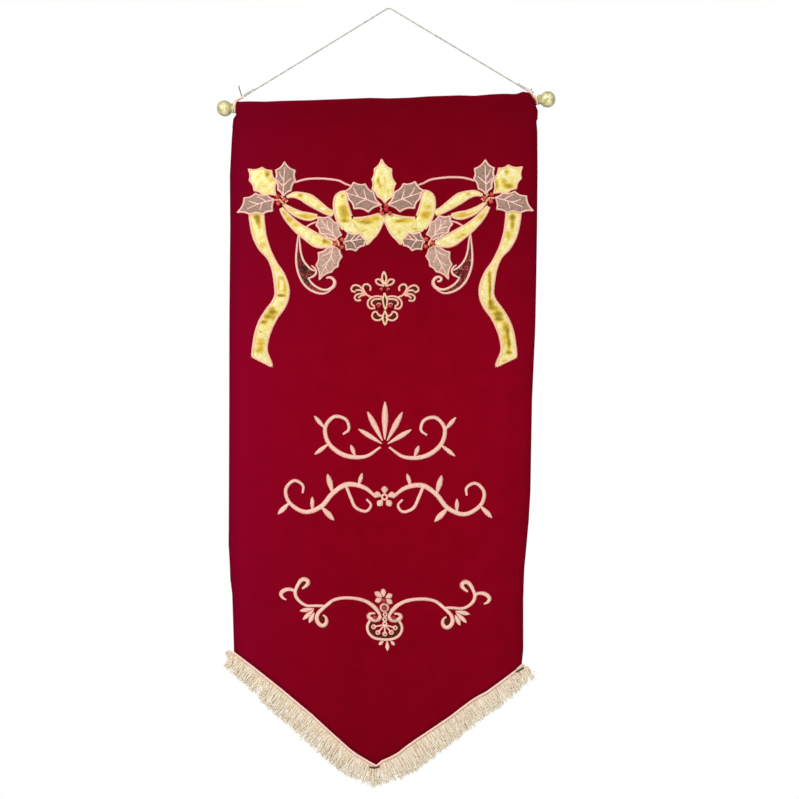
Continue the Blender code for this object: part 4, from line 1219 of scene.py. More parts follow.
def gold_tone(x, z):
    """How deep the gold cloth looks at a place, from 0 for pale to 1 for olive: a random tone with painted
    reflections in its folds.
    """
    depth = TONE_BASE + TONE_CLOUDS * noise.noise(Vector((x, z, TONE_LAYER)) * PUCKER_SIZE)
    for spot_x, spot_z, reach_x, reach_z, strength in GLINTS:
        away = ((x - spot_x) / reach_x) ** 2 + ((z - spot_z) / reach_z) ** 2
        depth += strength * math.exp(-away ** 1.5)
    return min(max(depth, 0.0), 1.0)


def puffed(edges, lifts, ends, tones):
    """Thin cloth between two edges, puffed over its padding and puckered; ends says if it tapers."""
    first, second = edges
    grid, tone = [], []
    for step, (left, right) in enumerate(zip(first, second)):
        share = step / (len(first) - 1)
        swell = math.sin(math.pi * share) ** 0.5 if ends else 1.0
        for across in np.linspace(-1.0, 1.0, LEAF_COLUMNS):
            x, z = left + (right - left) * (across + 1) / 2
            body = (1 - across ** 4) * swell
            ripple = noise.noise(Vector((x, z, PUCKER_LAYER)) * PUCKER_SIZE) * PUCKER
            grid.append(on_cloth(x, z, lifts[0] + (lifts[1] - lifts[0] + ripple) * body))
            tone.append(tones(x, z))
    points = np.array(grid).reshape(len(first), LEAF_COLUMNS, 3)
    half = np.full(points.shape[:2], SHEET_HALF)
    return shell(points, np.array(OUT_OF_CLOTH), half, half, {"tone": tone})


def weave_group():
    """Fine square weave seen as crossing threads, as a height and a mask of the threads."""
    tree, start, end = effect_group(
        "Weave", [("Pitch", "Float", 0.001)], [("Height", "Float"), ("Threads", "Float")])
    apart = add_node(tree, "ShaderNodeSeparateXYZ", {"Vector": own_place(tree)}).outputs
    rate = reckon(tree, "DIVIDE", 2 * math.pi, start["Pitch"])
    waves = [reckon(tree, "SINE", reckon(tree, "MULTIPLY", apart[axis], rate)) for axis in ("X", "Z")]
    height = reckon(tree, "MULTIPLY_ADD", reckon(tree, "MAXIMUM", *waves), 0.5, 0.5)
    tree.links.new(height, end.inputs["Height"])
    tree.links.new(reckon(tree, "GREATER_THAN", height, 0.72), end.inputs["Threads"])
    return tree


WEAVE = weave_group()


def lame_material():
    """Gold lame: bright pale metal cloth, with olive and ochre painted into its folds as reflection and
    shade.
    """
    material, tree, shader = finish_material("gold lame", 0.36, Metallic=0.25, Coat_Weight=0.15)
    clouds = add_mottle(tree, dye(242, 238, 198), dye(238, 222, 134), 160.0, 0.14)
    # A fine mottle multiplied over the gold is painted shade of its crumples.
    painted_crease_shade = add_mottle(tree, dye(255, 255, 255), dye(214, 216, 160), 520.0, 0.08)
    # The tone attribute paints the olive and ochre reflections into the folds.
    tone = reckon(tree, "MULTIPLY", own_value(tree, "tone"), 2.0)
    golden = blend_colours(tree, reckon(tree, "MINIMUM", tone, 1.0), clouds["Color"],
                           dye(214, 178, 40))
    deeper = reckon(tree, "MAXIMUM", reckon(tree, "SUBTRACT", tone, 1.0), 0.0)
    colour = blend_colours(tree, deeper, golden, dye(138, 116, 8))
    paint(tree, shader, blend_colours(tree, 0.6, colour, painted_crease_shade["Color"], "MULTIPLY"))
    weave = made(tree, "ShaderNodeGroup", {"Pitch": 0.0009}, node_tree=WEAVE)
    add_relief(tree, shader, weave, 0.25, 0.0002)
    return material


def organza_material():
    """Sheer mauve organza: a crossed mesh of fine threads through which the velvet shows darker."""
    material, tree, shader = finish_material("mauve organza", 0.5, Sheen_Weight=0.2,
                                             Specular_IOR_Level=0.4)
    weave = add_node(tree, "ShaderNodeGroup", {"Pitch": 0.0023}, node_tree=WEAVE).outputs
    dark = add_mottle(tree, dye(138, 100, 82), dye(72, 46, 36), 330.0, 0.14)
    pale = add_mottle(tree, dye(222, 190, 170), dye(166, 126, 110), 300.0, 0.14)
    body = blend_colours(tree, own_value(tree, "tone"), dark["Color"], pale["Color"])
    threads = reckon(tree, "MULTIPLY", weave["Threads"], 0.2)
    paint(tree, shader, blend_colours(tree, threads, body, dye(205, 178, 160)))
    add_relief(tree, shader, weave["Height"], 0.4, 0.0002)
    return material


def thread_material(name, crown, side, dull, sheen=0.3, gloss=0.45):
    """Shining embroidery thread with a painted highlight on the crown of each stitch and painted shade down
    its sides.
    """
    material, tree, shader = finish_material(name, 0.42, Sheen_Weight=sheen, Specular_IOR_Level=gloss,
                                             Sheen_Tint=dye(255, 206, 186))
    arch = made(tree, "ShaderNodeMapRange", {0: own_value(tree, "crown"), 1: 0.05, 2: 0.65})
    # Painted highlight on the crown and painted shade down the sides of each stitch.
    colour = blend_colours(tree, arch, side, crown)
    shade = reckon(tree, "MULTIPLY", own_value(tree, "shade"), 0.3)
    paint(tree, shader, blend_colours(tree, shade, colour, dull))
    add_fibres(tree, shader, 2400.0, 0.3, 0.0002)
    return material


CLOTHS = {"lame": lame_material(), "organza": organza_material()}
# Each thread's first colour is its painted highlight and its second its painted side shade.
PEACH_THREAD = thread_material("peach thread", dye(255, 224, 208), dye(255, 176, 160),
                               dye(250, 158, 138))
CREAM_THREAD = thread_material("cream thread", dye(255, 226, 190), dye(250, 180, 130),
                               dye(242, 166, 116))
EDGE_THREAD = {"lame": CREAM_THREAD, "organza": PEACH_THREAD}
applique = []


def leaf_strokes(side, sides, layer, veins):
    """Outline of a leaf and its veins as satin strokes."""
    outline = on_side(side, sides[0] + sides[1][-2:0:-1])
    strokes = [([(x, z, OUTLINE_WIDTH, 0.0) for x, z in outline], OUTLINE_RISE[layer], True)]
    for vein in veins:
        taper = np.linspace(VEIN_WIDTH, VEIN_WIDTH * VEIN_TAPER, len(vein))
        rows = on_side(side, [(x, z, width) for (x, z), width in zip(vein, taper)])
        strokes.append(flowing(rows, VEIN_RISE, CROWN_LIFT[layer] - VEIN_SINK))
    return strokes


for number, (name, leaf) in enumerate(LEAVES.items()):
    layer, cloth, pale, tip, one_side, other_side, base, veins = leaf
    heart = (Vector(tip) + Vector(base)) / 2
    sides = [hollowed([tip, *spikes, base], heart, EDGE_INSET) for spikes in (one_side, other_side)]
    for side in ("left", "right"):
        if name == "centre_gold" and side == "right":
            continue
        label = name if name == "centre_gold" else name + "_" + side
        edges = [spaced(on_side(side, edge), LEAF_ROWS) for edge in sides]
        tones = gold_tone if cloth == "lame" else (lambda x, z, pale=pale: pale)
        applique += [
            add_piece("holly_" + label, puffed(edges, (EDGE_LIFT[layer], CROWN_LIFT[layer]), True, tones),
                      CLOTHS[cloth], cloth, "leaf_" + label),
            satin("holly_" + label + "_stitching", leaf_strokes(side, sides, layer, veins),
                  EDGE_THREAD[cloth], number),
        ]


# Ribbons. The bow, its bands and its two long tails are gold lame, cut as strips, eased on with
# small puckers and edged with satin stitch in cream thread.
BAND_ROWS = 60
TAIL_ROWS = 120
TAIL_CUT = 0.70
TAIL_CUT_SHARE = 0.17
BAND_LIFT = (0.30, 1.15)
BAND_RISE = 1.5
BAND_OUTLINE = 4.3
BAND_INSET = 1.1
NARROW_OUTLINE = BAND_OUTLINE * 0.85
RIBBONS = {
    # centre line and width, in millimetres, of the left half
    "upper": ((-152, -147.5, 3), (-141, -144.5, 8), (-130, -146.5, 11.5), (-117, -152, 16),
        (-101, -162.5, 13), (-90.5, -169.2, 10), (-80, -173.5, 8.5)),
    "middle": ((-157.5, -158.5, 3), (-144, -169, 9), (-130, -175.3, 11), (-116.5, -177.8, 11.5),
        (-104.5, -177, 4.5)),
    "lower": ((-161, -165, 5), (-156, -172.5, 9), (-146.5, -184, 12), (-134, -195.5, 15),
        (-119, -205.5, 18.5), (-104.5, -214.5, 20.5), (-92, -217.5, 15.5), (-80, -219, 6)),
    "tail": ((-199.5, -168, 22.5), (-199, -182, 22.3), (-195.2, -206, 20.2), (-188, -224, 16.2),
        (-178.5, -239, 9.6), (-171, -254, 11), (-164.8, -268, 17.2), (-160.2, -286, 21.5),
        (-160.2, -300, 21.5), (-165.5, -313, 21.5), (-176, -327, 21.7), (-185.5, -343.7, 23),
        (-192, -362.6, 22.5), (-194.5, -382.4, 22.5), (-191, -401.5, 28.5)),
}
PATCHES = {
    # the two edges of a piece, in millimetres, of the left half
    "side": (((-64, -138.5), (-72.5, -141), (-78.5, -147.5), (-80.3, -158), (-79.5, -170), (-75.5, -183),
        (-69.5, -193.5), (-61, -202)), ((-60, -141), (-59, -150), (-57.5, -158), (-55, -166), (-52.5, -173),
        (-50.5, -180), (-48, -187), (-43, -200))),
    "lobe": (((-2.5, -175.5), (-10, -172.5), (-20, -175), (-30, -177.3), (-40, -178.5), (-50, -179)),
        ((-2, -182), (-5.5, -191), (-12, -203.5), (-20, -212.5), (-31, -220), (-54, -203))),
}
FULL_EDGE = 1.0
PATCH_STROKES = {
    # how much of each of the two edges is sewn with satin stitch
    "side": (0.92, 0.66), "lobe": (FULL_EDGE, 0.80),
}


def band_edges(line, cut):
    """Two edges of a band along its line, its far end cut at a slant."""
    last = len(line) - 1
    edges = []
    for hand in (-1, 1):
        edge = []
        for row, (x, z, width) in enumerate(line):
            ahead = line[min(row + 1, last)] - line[max(row - 1, 0)]
            along = Vector((ahead[0], ahead[1])).normalized()
            reach = width / 2 * hand
            slant = cut * max(0.0, 1.0 - (last - row) / (TAIL_CUT_SHARE * last))
            edge.append((x + (along.x * slant - along.y) * reach, z + (along.y * slant + along.x) * reach))
        edges.append(np.array(edge))
    return edges


def drawn_in(edges, inset):
    """The same edges, each moved towards the other."""
    apart = edges[1] - edges[0]
    step = apart / np.maximum(np.linalg.norm(apart, axis=1, keepdims=True), 1e-9) * inset
    return edges[0] + step, edges[1] - step


def edge_stroke(edge, width):
    """Stroke of satin stitch along an edge of (x, z)."""
    return [(x, z, width, 0.0) for x, z in edge]


for number, (name, shape) in enumerate({**RIBBONS, **PATCHES}.items()):
    if name in RIBBONS:
        line = smooth(shape, TAIL_ROWS if name == "tail" else BAND_ROWS)
        outside = band_edges(line, TAIL_CUT if name == "tail" else 0.0)
    else:
        outside = [smooth(edge, BAND_ROWS) for edge in shape]
    for side in ("left", "right"):
        edges = drawn_in([np.array(on_side(side, edge)) for edge in outside], BAND_INSET)
        if name == "tail":
            strokes = [(edge_stroke([*edges[0][::2], *edges[1][::-2]], BAND_OUTLINE), BAND_RISE, False)]
        else:
            shares = PATCH_STROKES.get(name, (FULL_EDGE, FULL_EDGE))
            strokes = [(edge_stroke(edge[:round(len(edge) * share):2], NARROW_OUTLINE), BAND_RISE, False)
                       for edge, share in zip(edges, shares)]
        label = "ribbon_" + name + "_" + side
        applique += [
            add_piece("gold_" + label, puffed(edges, BAND_LIFT, False, gold_tone), CLOTHS["lame"],
                      "lame", label),
            satin("gold_" + label + "_stitching", strokes, CREAM_THREAD, 20 + number),
        ]


# Horns. Under each end of the bow a sheer dark horn with red and gold glitter curls up to a hook.
# It is edged with peach satin stitch, and a short thorn of stitches leaves its inner edge.
HORN_ROWS = 72
HORN_LIFT = (0.2, 0.45)
HORN_RISE = 1.3
HORN_EDGES = (
    ((-134.5, -209), (-136.5, -225), (-137.5, -240), (-136.8, -252), (-133.5, -265), (-127.5, -277),
     (-118.5, -286.5), (-108, -292.3), (-95, -294.5), (-86, -292.5)),
    ((-133.5, -209), (-131.5, -225), (-129, -240), (-122.5, -250.5), (-113, -259), (-111, -267.5),
     (-116.5, -272.5), (-110, -282), (-98, -288.5), (-87, -290.5)),
)
HORN_LINES = (
    ((-134.5, -206, 2), (-136.3, -222, 2.8), (-137.6, -238, 3.1), (-137, -252, 3.3), (-133.5, -266, 3.3),
     (-127, -279, 3.3), (-117.5, -288.5, 3.3), (-106, -294, 3.3), (-96, -295.4, 2.9), (-89, -293.4, 2.3),
     (-84, -290.4, 1.6)),
    ((-133, -208, 1.8), (-131.6, -222, 2.8), (-130, -234, 3), (-126, -245, 3.1), (-120, -253, 3.1),
     (-113.5, -258.6, 2.9), (-109, -260.4, 1.8)),
    ((-113.5, -252.5, 1.4), (-109.4, -255.6, 2.8), (-106.4, -260.5, 3.2), (-107.8, -266, 3.2),
     (-112.5, -269.5, 3), (-118.6, -272, 2)),
    ((-118.8, -271.5, 2.2), (-113.8, -279, 3.1), (-106.5, -285, 3.3), (-98, -289, 3.4), (-90, -289.8, 3.8),
     (-82.5, -286.8, 4.8), (-78.2, -281.5, 4.9), (-78.2, -276, 4.5), (-82, -271.4, 4), (-87, -270.2, 3.4)),
)
HORN_HOOKS = {
    "left": ((-90.5, -271.5, 2.6),),
    "right": ((-90.8, -273, 3.6), (-88.8, -276.8, 3.4), (-84.5, -277.2, 2.4)),
}

dark_sheer, tree, shader = finish_material("dark sheer", 0.55, Specular_IOR_Level=0.12)
specks = made(tree, "ShaderNodeTexVoronoi", {"Vector": own_place(tree), "Scale": 700.0}, "Color")
spark = add_node(tree, "ShaderNodeSeparateColor", {"Color": specks}).outputs
ground = add_mottle(tree, dye(108, 20, 30), dye(50, 18, 13), 60.0, 0.12)
red = blend_colours(tree, reckon(tree, "GREATER_THAN", spark[0], 0.88), ground["Color"],
                    dye(150, 50, 52))
paint(tree, shader, blend_colours(tree, reckon(tree, "GREATER_THAN", spark[1], 0.95), red,
                                  dye(160, 120, 84)))

for side, hook in HORN_HOOKS.items():
    edges = [np.array(on_side(side, smooth(edge, HORN_ROWS))) for edge in HORN_EDGES]
    drawn = [*HORN_LINES[:-1], HORN_LINES[-1] + hook]
    strokes = [flowing(on_side(side, rows), HORN_RISE) for rows in drawn]
    applique += [
        add_piece("dark_horn_" + side, puffed(edges, HORN_LIFT, False, lambda x, z: 0.0), dark_sheer,
                  "dark_sheer", "crescent_" + side),
        satin("dark_horn_" + side + "_stitching", strokes, PEACH_THREAD, 31),
    ]


# Stems and berries. Thin satin-stitched stems join the leaf clusters and span the folds of the bow.
# Glossy red beads, with short pink stitches between them, are sewn on where the leaves meet.
BASE_RISE = 0.75
RISE_SHARE = 0.14
MOST_RISE = 2.0
BEAD_SMALL = 3.3
BEAD_MIDDLE = 3.7
BEAD_SUBDIVISIONS = 3
BERRY_LIFT = 0.4
BRIGHT_BERRY_LIFT = 0.6
BERRY_STITCH_RISE = 1.6
BERRY_STITCH_LIFT = 3.2
STEMS = (
    ((-139.5, -125.5, 2.4), (-131.7, -122.8, 2.9), (-118.4, -120.1, 3), (-97.3, -119.7, 3),
     (-73.8, -122.3, 3), (-63.1, -127.1, 2.8), (-52.5, -131, 2.4)),
    ((-121.9, -193.2, 2.2), (-114.8, -188.8, 2.6), (-105.9, -185.7, 2.4)),
)
# Thin olive stitch lines along three folds of the bow are painted shade in those creases.
CREASE_LIFT = 1.15
CREASE_RISE = 0.25
CREASES = (
    ((-50, -186, 0.6), (-46.5, -192, 0.9), (-42, -199, 0.6)),
    ((-47.5, -188, 0.5), (-43.5, -193, 0.8), (-38.5, -199, 0.5)),
    ((-38, -200.5, 0.5), (-33, -199, 0.8), (-28, -196, 0.5)),
)
BERRIES = (
    (-166, -147.2), (-155.7, -152), (-165, -157.8), (-66.6, -212.8), (-76.2, -219.4), (-66.2, -223.9),
)
MIDDLE_BERRIES = ((1.6, -160.6), (-4.9, -172.6), (7.0, -172.6))
BRIGHT_BERRY = (1.1, -166.6)
BERRY_STITCHES = (
    ((-163.5, -151.5, 2.6), (-160.5, -154.3, 3.8), (-157.5, -157.5, 2.6)),
    ((-154, -156.3, 2), (-150.5, -153, 2.6)),
    ((-160.5, -146.5, 2.2), (-158, -149.5, 2.4)),
    ((-169.5, -152.3, 2.6), (-165, -152.8, 3.2)),
    ((-74.8, -212.8, 2.6), (-71.8, -217.8, 3.8), (-71, -222.5, 2.6)),
    ((-61, -217, 2.2), (-64, -218.6, 2.8)),
    ((-78, -224.5, 2.2), (-72.5, -226.3, 2.6)),
    ((-7.5, -163, 1.6), (-5.8, -166.3, 2.4), (-8, -169.5, 1.6)),
)


def rise_of(width):
    """Height of satin stitch over the velvet, which grows with its width, in millimetres."""
    return min(BASE_RISE + RISE_SHARE * width, MOST_RISE)


def lines(*strokes):
    """Flowing strokes of satin stitch laid straight on the velvet."""
    return [flowing(rows, rise_of(max(row[2] for row in rows))) for rows in strokes]


def both_sides(strokes):
    """Strokes of the left half with their twins on the right."""
    return [on_side(side, rows) for side in ("left", "right") for rows in strokes]


def bead_mesh(places, lift):
    """Round beads sewn at (x, z, radius), all in one mesh."""
    body = bmesh.new()
    for x, z, radius in places:
        spot = Matrix.Translation(on_cloth(x, z, lift + radius))
        bmesh.ops.create_icosphere(body, subdivisions=BEAD_SUBDIVISIONS, radius=radius * MM, matrix=spot)
    return smooth_mesh(body)


ROSE_THREAD = thread_material("rose thread", dye(255, 214, 206), dye(255, 164, 158), dye(250, 146, 136))
PINK_THREAD = thread_material("pink thread", dye(255, 200, 170), dye(255, 156, 126), dye(248, 140, 110))
CREASE_SHADE_THREAD = thread_material("olive crease shade thread", dye(206, 190, 110), dye(150, 134, 50), dye(120, 104, 40),
                               0.1)
RED_BEAD = mottled_material("red bead", 0.25, dye(226, 84, 64), dye(150, 26, 20), 300.0,
                            Specular_IOR_Level=0.4)[0]
PINK_BEAD = mottled_material("pink bead", 0.3, dye(206, 30, 66), dye(150, 4, 34), 300.0,
                             Specular_IOR_Level=0.3)[0]

berries = [(*place, BEAD_SMALL) for rows in both_sides([BERRIES]) for place in rows]
berries += [(x, z, BEAD_SMALL) for x, z in MIDDLE_BERRIES]
applique += [
    satin("stems", lines(*both_sides(STEMS)), ROSE_THREAD, 41),
    satin("bow_creases", [flowing(rows, CREASE_RISE, CREASE_LIFT) for rows in both_sides(CREASES)],
          CREASE_SHADE_THREAD, 42),
    satin("berry_stitches", [flowing(rows, BERRY_STITCH_RISE, BERRY_STITCH_LIFT)
                             for rows in both_sides(BERRY_STITCHES)], PINK_THREAD, 43),
    add_piece("berries", bead_mesh(berries, BERRY_LIFT), RED_BEAD),
    add_piece("bright_berry", bead_mesh([(*BRIGHT_BERRY, BEAD_MIDDLE)], BRIGHT_BERRY_LIFT), PINK_BEAD),
]


# Middle ornament. A scrolled motif between the tails of the bow, drawn in narrow satin stitch, with
# dark stitches laid in its loops as painted shade, and four red beads.
MIDDLE_LINE = -0.3
FINE_STITCH = 2.8
AMBER_THREAD = thread_material("amber thread", dye(255, 214, 190), dye(252, 164, 142), dye(246, 146, 120))
MIDDLE_SCROLLS = (
    ((1.2, -282.2), (6.6, -273.6), (13.6, -274.1), (11, -280), (1.2, -283.3)),
    ((2.9, -300.2), (11.1, -298.8), (19.5, -300.8), (25.2, -306), (25.7, -312.8), (21.4, -317.9),
     (14.6, -316.9)),
    ((4.6, -303.3), (12.9, -303.3), (18.9, -305.7), (19.9, -311), (15.3, -314.5)),
    ((20.3, -300.4), (27.3, -297.1), (32.1, -290.7)),
    ((32.1, -290.7), (33.7, -284.7), (30.4, -280.8), (25.6, -281), (21.6, -285.3), (22.4, -290.2)),
    ((33.7, -288.5), (39.7, -283.4), (46.5, -282.1), (51.4, -286.3), (50.2, -291.3), (45.2, -292.4)),
    ((32.7, -292.8), (38.1, -289.5), (44.5, -290.1)),
    ((31.6, -295.3), (38.6, -295.2), (44.9, -298), (46, -302.8), (42.2, -305.8), (36.8, -305)),
    ((30.5, -296.9), (36.4, -298.3), (40.4, -301.6)),
    ((1.5, -331), (6.7, -335.1), (13, -335.8), (18.6, -331.9), (18.6, -325.7), (14.5, -322.5),
     (10.9, -323.6)),
    ((2, -329.1), (8, -328.5), (11.2, -324.7)),
)
MIDDLE_LOOPS = (
    ((-0.4, -280.1), (-4.8, -271.5), (-1.8, -261.6), (2, -271.5), (-0.4, -280.1)),
    ((-0.9, -294.1), (3.5, -305.9), (0.7, -318.8), (-3.2, -305.9), (-0.9, -294.1)),
    ((0.2, -321.5), (3.7, -331.8), (0.3, -342.8), (-3.4, -331.8), (0.2, -321.5)),
)
MIDDLE_SHADES = (
    ((4, -281, 1.5), (8, -278.6, 3), (12, -277, 2.6)),
    ((31.6, -288, 1.5), (30.2, -284.4, 3.4), (27.2, -283.6, 3.8), (24.6, -286, 3.2)),
    ((36.5, -288, 1.5), (41.5, -286, 4), (46.6, -286.3, 5), (48.2, -289.2, 3)),
    ((35, -293.4, 1.5), (39.8, -292.6, 3), (44, -294, 1.6)),
    ((34.5, -296.8, 1.2), (39.8, -298, 2.8), (43.4, -300.4, 3.8), (42.4, -303.4, 3)),
    ((4.6, -306, 2.4), (11, -306, 4), (15.6, -308, 4.6), (16, -311.4, 3)),
    ((4.6, -331.6, 2), (9.6, -332.2, 4.4), (14.6, -330.4, 6.4), (15.8, -326, 4.4)),
)
MIDDLE_LOOP_SHADES = (
    ((-1.4, -277, 1.4), (-1.4, -271, 3.6), (-1.6, -265, 2)),
    ((-0.6, -297, 1.2), (0.2, -306, 3.6), (0.4, -315, 1.6)),
    ((0.1, -324.5, 1.2), (0.2, -332, 4), (0.2, -339.5, 1.6)),
)
SHADE_RISE = 0.45
ARC_RISE = 1.4
ARC_LIFT = 1.8
BEAD_LIFT = 0.2
MIDDLE_ARCS = (
    ((2.8, -288.6, 1.4), (4.6, -286.4, 1.8), (6.8, -288.4, 1.4)),
    ((5.6, -311.2, 1.4), (8.6, -309.4, 2), (12.2, -311.4, 1.4)),
)
MIDDLE_BEADS = ((4.4, -289.0, 2.4), (-5.0, -289.0, 2.4), (8.7, -314.0, 3.4), (-9.3, -314.0, 3.4))


def twins(strokes, middle):
    """Strokes with their mirror images about an upright line."""
    return list(strokes) + [[(2 * middle - row[0], *row[1:]) for row in rows] for rows in strokes]


def even_width(strokes, width):
    """Strokes of (x, z) with one width along them."""
    return [[(*row, width) for row in rows] for rows in strokes]


# Dark brown thread without sheen, laid inside the ornaments' loops as painted shade.
SHADE_THREAD = thread_material("painted shade thread", dye(92, 44, 26), dye(62, 22, 12), dye(48, 14, 8),
                               0.0, 0.05)
RUBY_BEAD = mottled_material("ruby bead", 0.2, dye(188, 18, 40), dye(120, 4, 18), 300.0,
                             Specular_IOR_Level=0.5)[0]
scrolls = twins(even_width(MIDDLE_SCROLLS, FINE_STITCH), MIDDLE_LINE)
middle_shades = [*twins(MIDDLE_SHADES, MIDDLE_LINE), *MIDDLE_LOOP_SHADES]
applique += [
    satin("middle_ornament", lines(*scrolls), AMBER_THREAD, 44),
    satin("middle_ornament_fills", [flowing(rows, SHADE_RISE) for rows in middle_shades], SHADE_THREAD, 49),
    satin("middle_ornament_loops", lines(*even_width(MIDDLE_LOOPS, FINE_STITCH)), CREAM_THREAD, 48),
    satin("middle_ornament_arcs", [flowing(rows, ARC_RISE, ARC_LIFT)
                                   for rows in twins(MIDDLE_ARCS, MIDDLE_LINE)], PINK_THREAD, 51),
    add_piece("middle_ornament_beads", bead_mesh(MIDDLE_BEADS, BEAD_LIFT), RUBY_BEAD),
]


# Sprigs. Two rows of plain leafy scrolls and petals fill the cloth between the ornaments, worked in
# wide satin stitch.
PETAL_FORM = (
    # share of the length from the root, share of the greatest width
    (0, 0.25), (0.3, 0.75), (0.6, 1), (0.85, 0.7), (1, 0.22),
)
RING_POINTS = 14


def petal(root, tip, width):
    """Stroke for a petal or a small leaf from its root to its tip."""
    (x, z), (far_x, far_z) = root, tip
    return [(x + (far_x - x) * share, z + (far_z - z) * share, width * form)
            for share, form in PETAL_FORM]


def ring(x, z, radius, width):
    """Closed ring of satin stitch round a point."""
    turn = [2 * math.pi * step / RING_POINTS for step in range(RING_POINTS)]
    rows = [(x + radius * math.cos(a), z + radius * math.sin(a), width, 0.0) for a in turn]
    return rows, rise_of(width), True


SPRIG_LINE = 1.0
UPPER_SPRIG = (
    ((-6, -533, 3), (-30, -548, 5), (-62, -546, 6.5), (-86, -528, 6), (-92, -503, 5.5), (-78, -486, 5),
     (-60, -490, 4.5), (-55, -505, 4), (-64, -513, 3)), petal((-3, -522), (-26, -478), 8),
    petal((-4, -527), (-40, -505), 7), petal((-86, -528), (-108, -545), 6),
    petal((-92, -505), (-109, -485), 6), petal((-45, -548), (-52, -530), 6),
)
LOWER_SPRIG = (
    ((-12, -611, 4), (-32, -596, 6), (-58, -592, 7), (-80, -606, 6.5), (-98, -627, 6.5), (-124, -636, 6),
     (-148, -622, 5.5), (-154, -601, 5), (-141, -587, 4.5), (-127, -594, 4), (-127, -606, 3)),
    ((-60, -592, 4), (-52, -612, 4.5), (-44, -628, 4.5), (-28, -634, 4), (-20, -624, 3.5), (-27, -615, 3)),
    petal((-80, -606), (-88, -576), 8), petal((-98, -627), (-78, -648), 8),
    petal((-112, -634), (-112, -612), 6), petal((-148, -622), (-166, -640), 7),
    petal((-40, -594), (-34, -574), 6),
)
FLOWER_PETALS = 5
FLOWER_REACH = (6.0, 17.0)
FLOWER_PLACE = (1.0, -611.0)
FLOWER_PETAL = 9.5
FLOWER_RING = (4.2, 3.0)

flower = []
for turn in range(FLOWER_PETALS):
    angle = math.pi / 2 + 2 * math.pi * turn / FLOWER_PETALS
    ends = [(FLOWER_PLACE[0] + reach * math.cos(angle), FLOWER_PLACE[1] + reach * math.sin(angle))
            for reach in FLOWER_REACH]
    flower.append(petal(*ends, FLOWER_PETAL))
applique += [
    satin("upper_sprig", lines(*twins(UPPER_SPRIG, SPRIG_LINE), petal((1, -520), (1, -462), 9.0)),
          PEACH_THREAD, 45),
    satin("lower_sprig", lines(*twins(LOWER_SPRIG, SPRIG_LINE), *flower)
          + [ring(*FLOWER_PLACE, *FLOWER_RING)], PEACH_THREAD, 46),
]


# Lower ornament. Arched stems with a flower, a small basket of loops and leafy curls point down
# towards the V, worked in satin stitch with a few red beads.
LOWER_LINE = 2.3
LEFT_HALF = (
    ((-99.2, -793.5, 4.6), (-91.9, -786, 4.6), (-79.8, -776, 4.6), (-66.5, -772, 4.6), (-50.8, -771.7, 4.6),
     (-36.3, -773.9, 4.9), (-24.2, -778.5, 5.2), (-14.5, -785.6, 5.8), (-8.4, -792.8, 5.2),
     (-4.5, -800.1, 3.5)),
    ((-127.3, -757.6, 2.9), (-120.9, -752.8, 5), (-118, -747.4, 5.8), (-123.3, -742.5, 5.8),
     (-130.2, -745.3, 5.6), (-135.7, -754.2, 4.7), (-139, -763.7, 4.7), (-136.6, -773, 4.7),
     (-128.5, -781.1, 4.4), (-119.2, -785, 4), (-107.5, -784.7, 4), (-98.2, -784.5, 4), (-91.2, -785, 3.3)),
    ((-139.5, -762.5, 4.4), (-145.9, -759.7, 4.7), (-154.1, -760.5, 5.6), (-160.5, -764.7, 5.6),
     (-161.7, -769.4, 5), (-158.2, -774, 3.8), (-153.5, -776.3, 2.4)),
    ((-83.3, -779, 4), (-93.6, -787.4, 4.4), (-101.1, -794.6, 4.9), (-104.6, -802.9, 5.6),
     (-102.8, -811.1, 5.8), (-96.4, -816.3, 5.8), (-90, -813.2, 5.6), (-88.9, -806.1, 4.4),
     (-91.2, -801.4, 3.3), (-94.7, -799.2, 2.2)), petal((-109.3, -789.5), (-130.8, -793.5), 6.2),
    petal((-109.8, -791.8), (-126.1, -806.9), 6.2), petal((-108.7, -795.9), (-116.2, -811.4), 6.2),
    ((-4.5, -800.1, 5), (-7.5, -805.5, 6), (-14.3, -806.5, 6.5), (-21.5, -803.8, 6), (-23.5, -798.9, 5),
     (-18.5, -796, 4), (-13, -796.2, 3)),
)
BASKET = (
    ((-21, -807.8, 3.9), (-25, -816.5, 3.9), (-22.7, -827.4, 3.9), (-14.2, -835.2, 3.9),
     (-3.3, -837.4, 3.9), (2.7, -837.9, 3.9), (12.4, -837.1, 3.9), (22, -833.2, 3.9), (28.6, -825.1, 3.9),
     (29.4, -815.3, 3.9), (25.5, -808, 3.9)), petal((0.3, -840.4), (-6.3, -846.1), 5.2),
    petal((6.4, -840.3), (7.1, -855), 5.6), petal((12.4, -840.1), (17.9, -846.1), 5.2),
)
BASKET_FOOT = (2.6, -814.0)
# width of a spoke at its ends and its middle, radius and width of a ring, height and width in a dot of
# painted shade
BASKET_SPOKE = (2.0, 2.4)
BASKET_RING = (3.0, 1.9)
SHADE_DOT = ((1.6, 2.4), (0.0, 3.2), (-1.6, 2.4))
BASKET_LOOPS = ((-14.9, -817.5), (-8.2, -826.5), (2.7, -828.7), (12.9, -826.0), (18.9, -818.5))
BLOOM = ((-0.1, -760.9), (-9.2, -764.8), (10.1, -767.4), (-8.5, -775.1), (10.2, -777.2))
BLOOM_HEART = (1.1, -772.0)
BLOOM_REACH = 0.4
BLOOM_WIDTH = 8.0
LOWER_RINGS = (
    (1.8, -786.5, 5.6, 3.6), (3.1, -797.5, 2.8, 2.4), (2.5, -805.4, 2.8, 2.4), (2.6, -812.4, 2.8, 2.4),
)
LOWER_BEADS = ((-12.8, -801.3, 3.4), (16.8, -801.3, 3.4), (1.1, -774.0, 3.6), (1.8, -786.5, 4.0))
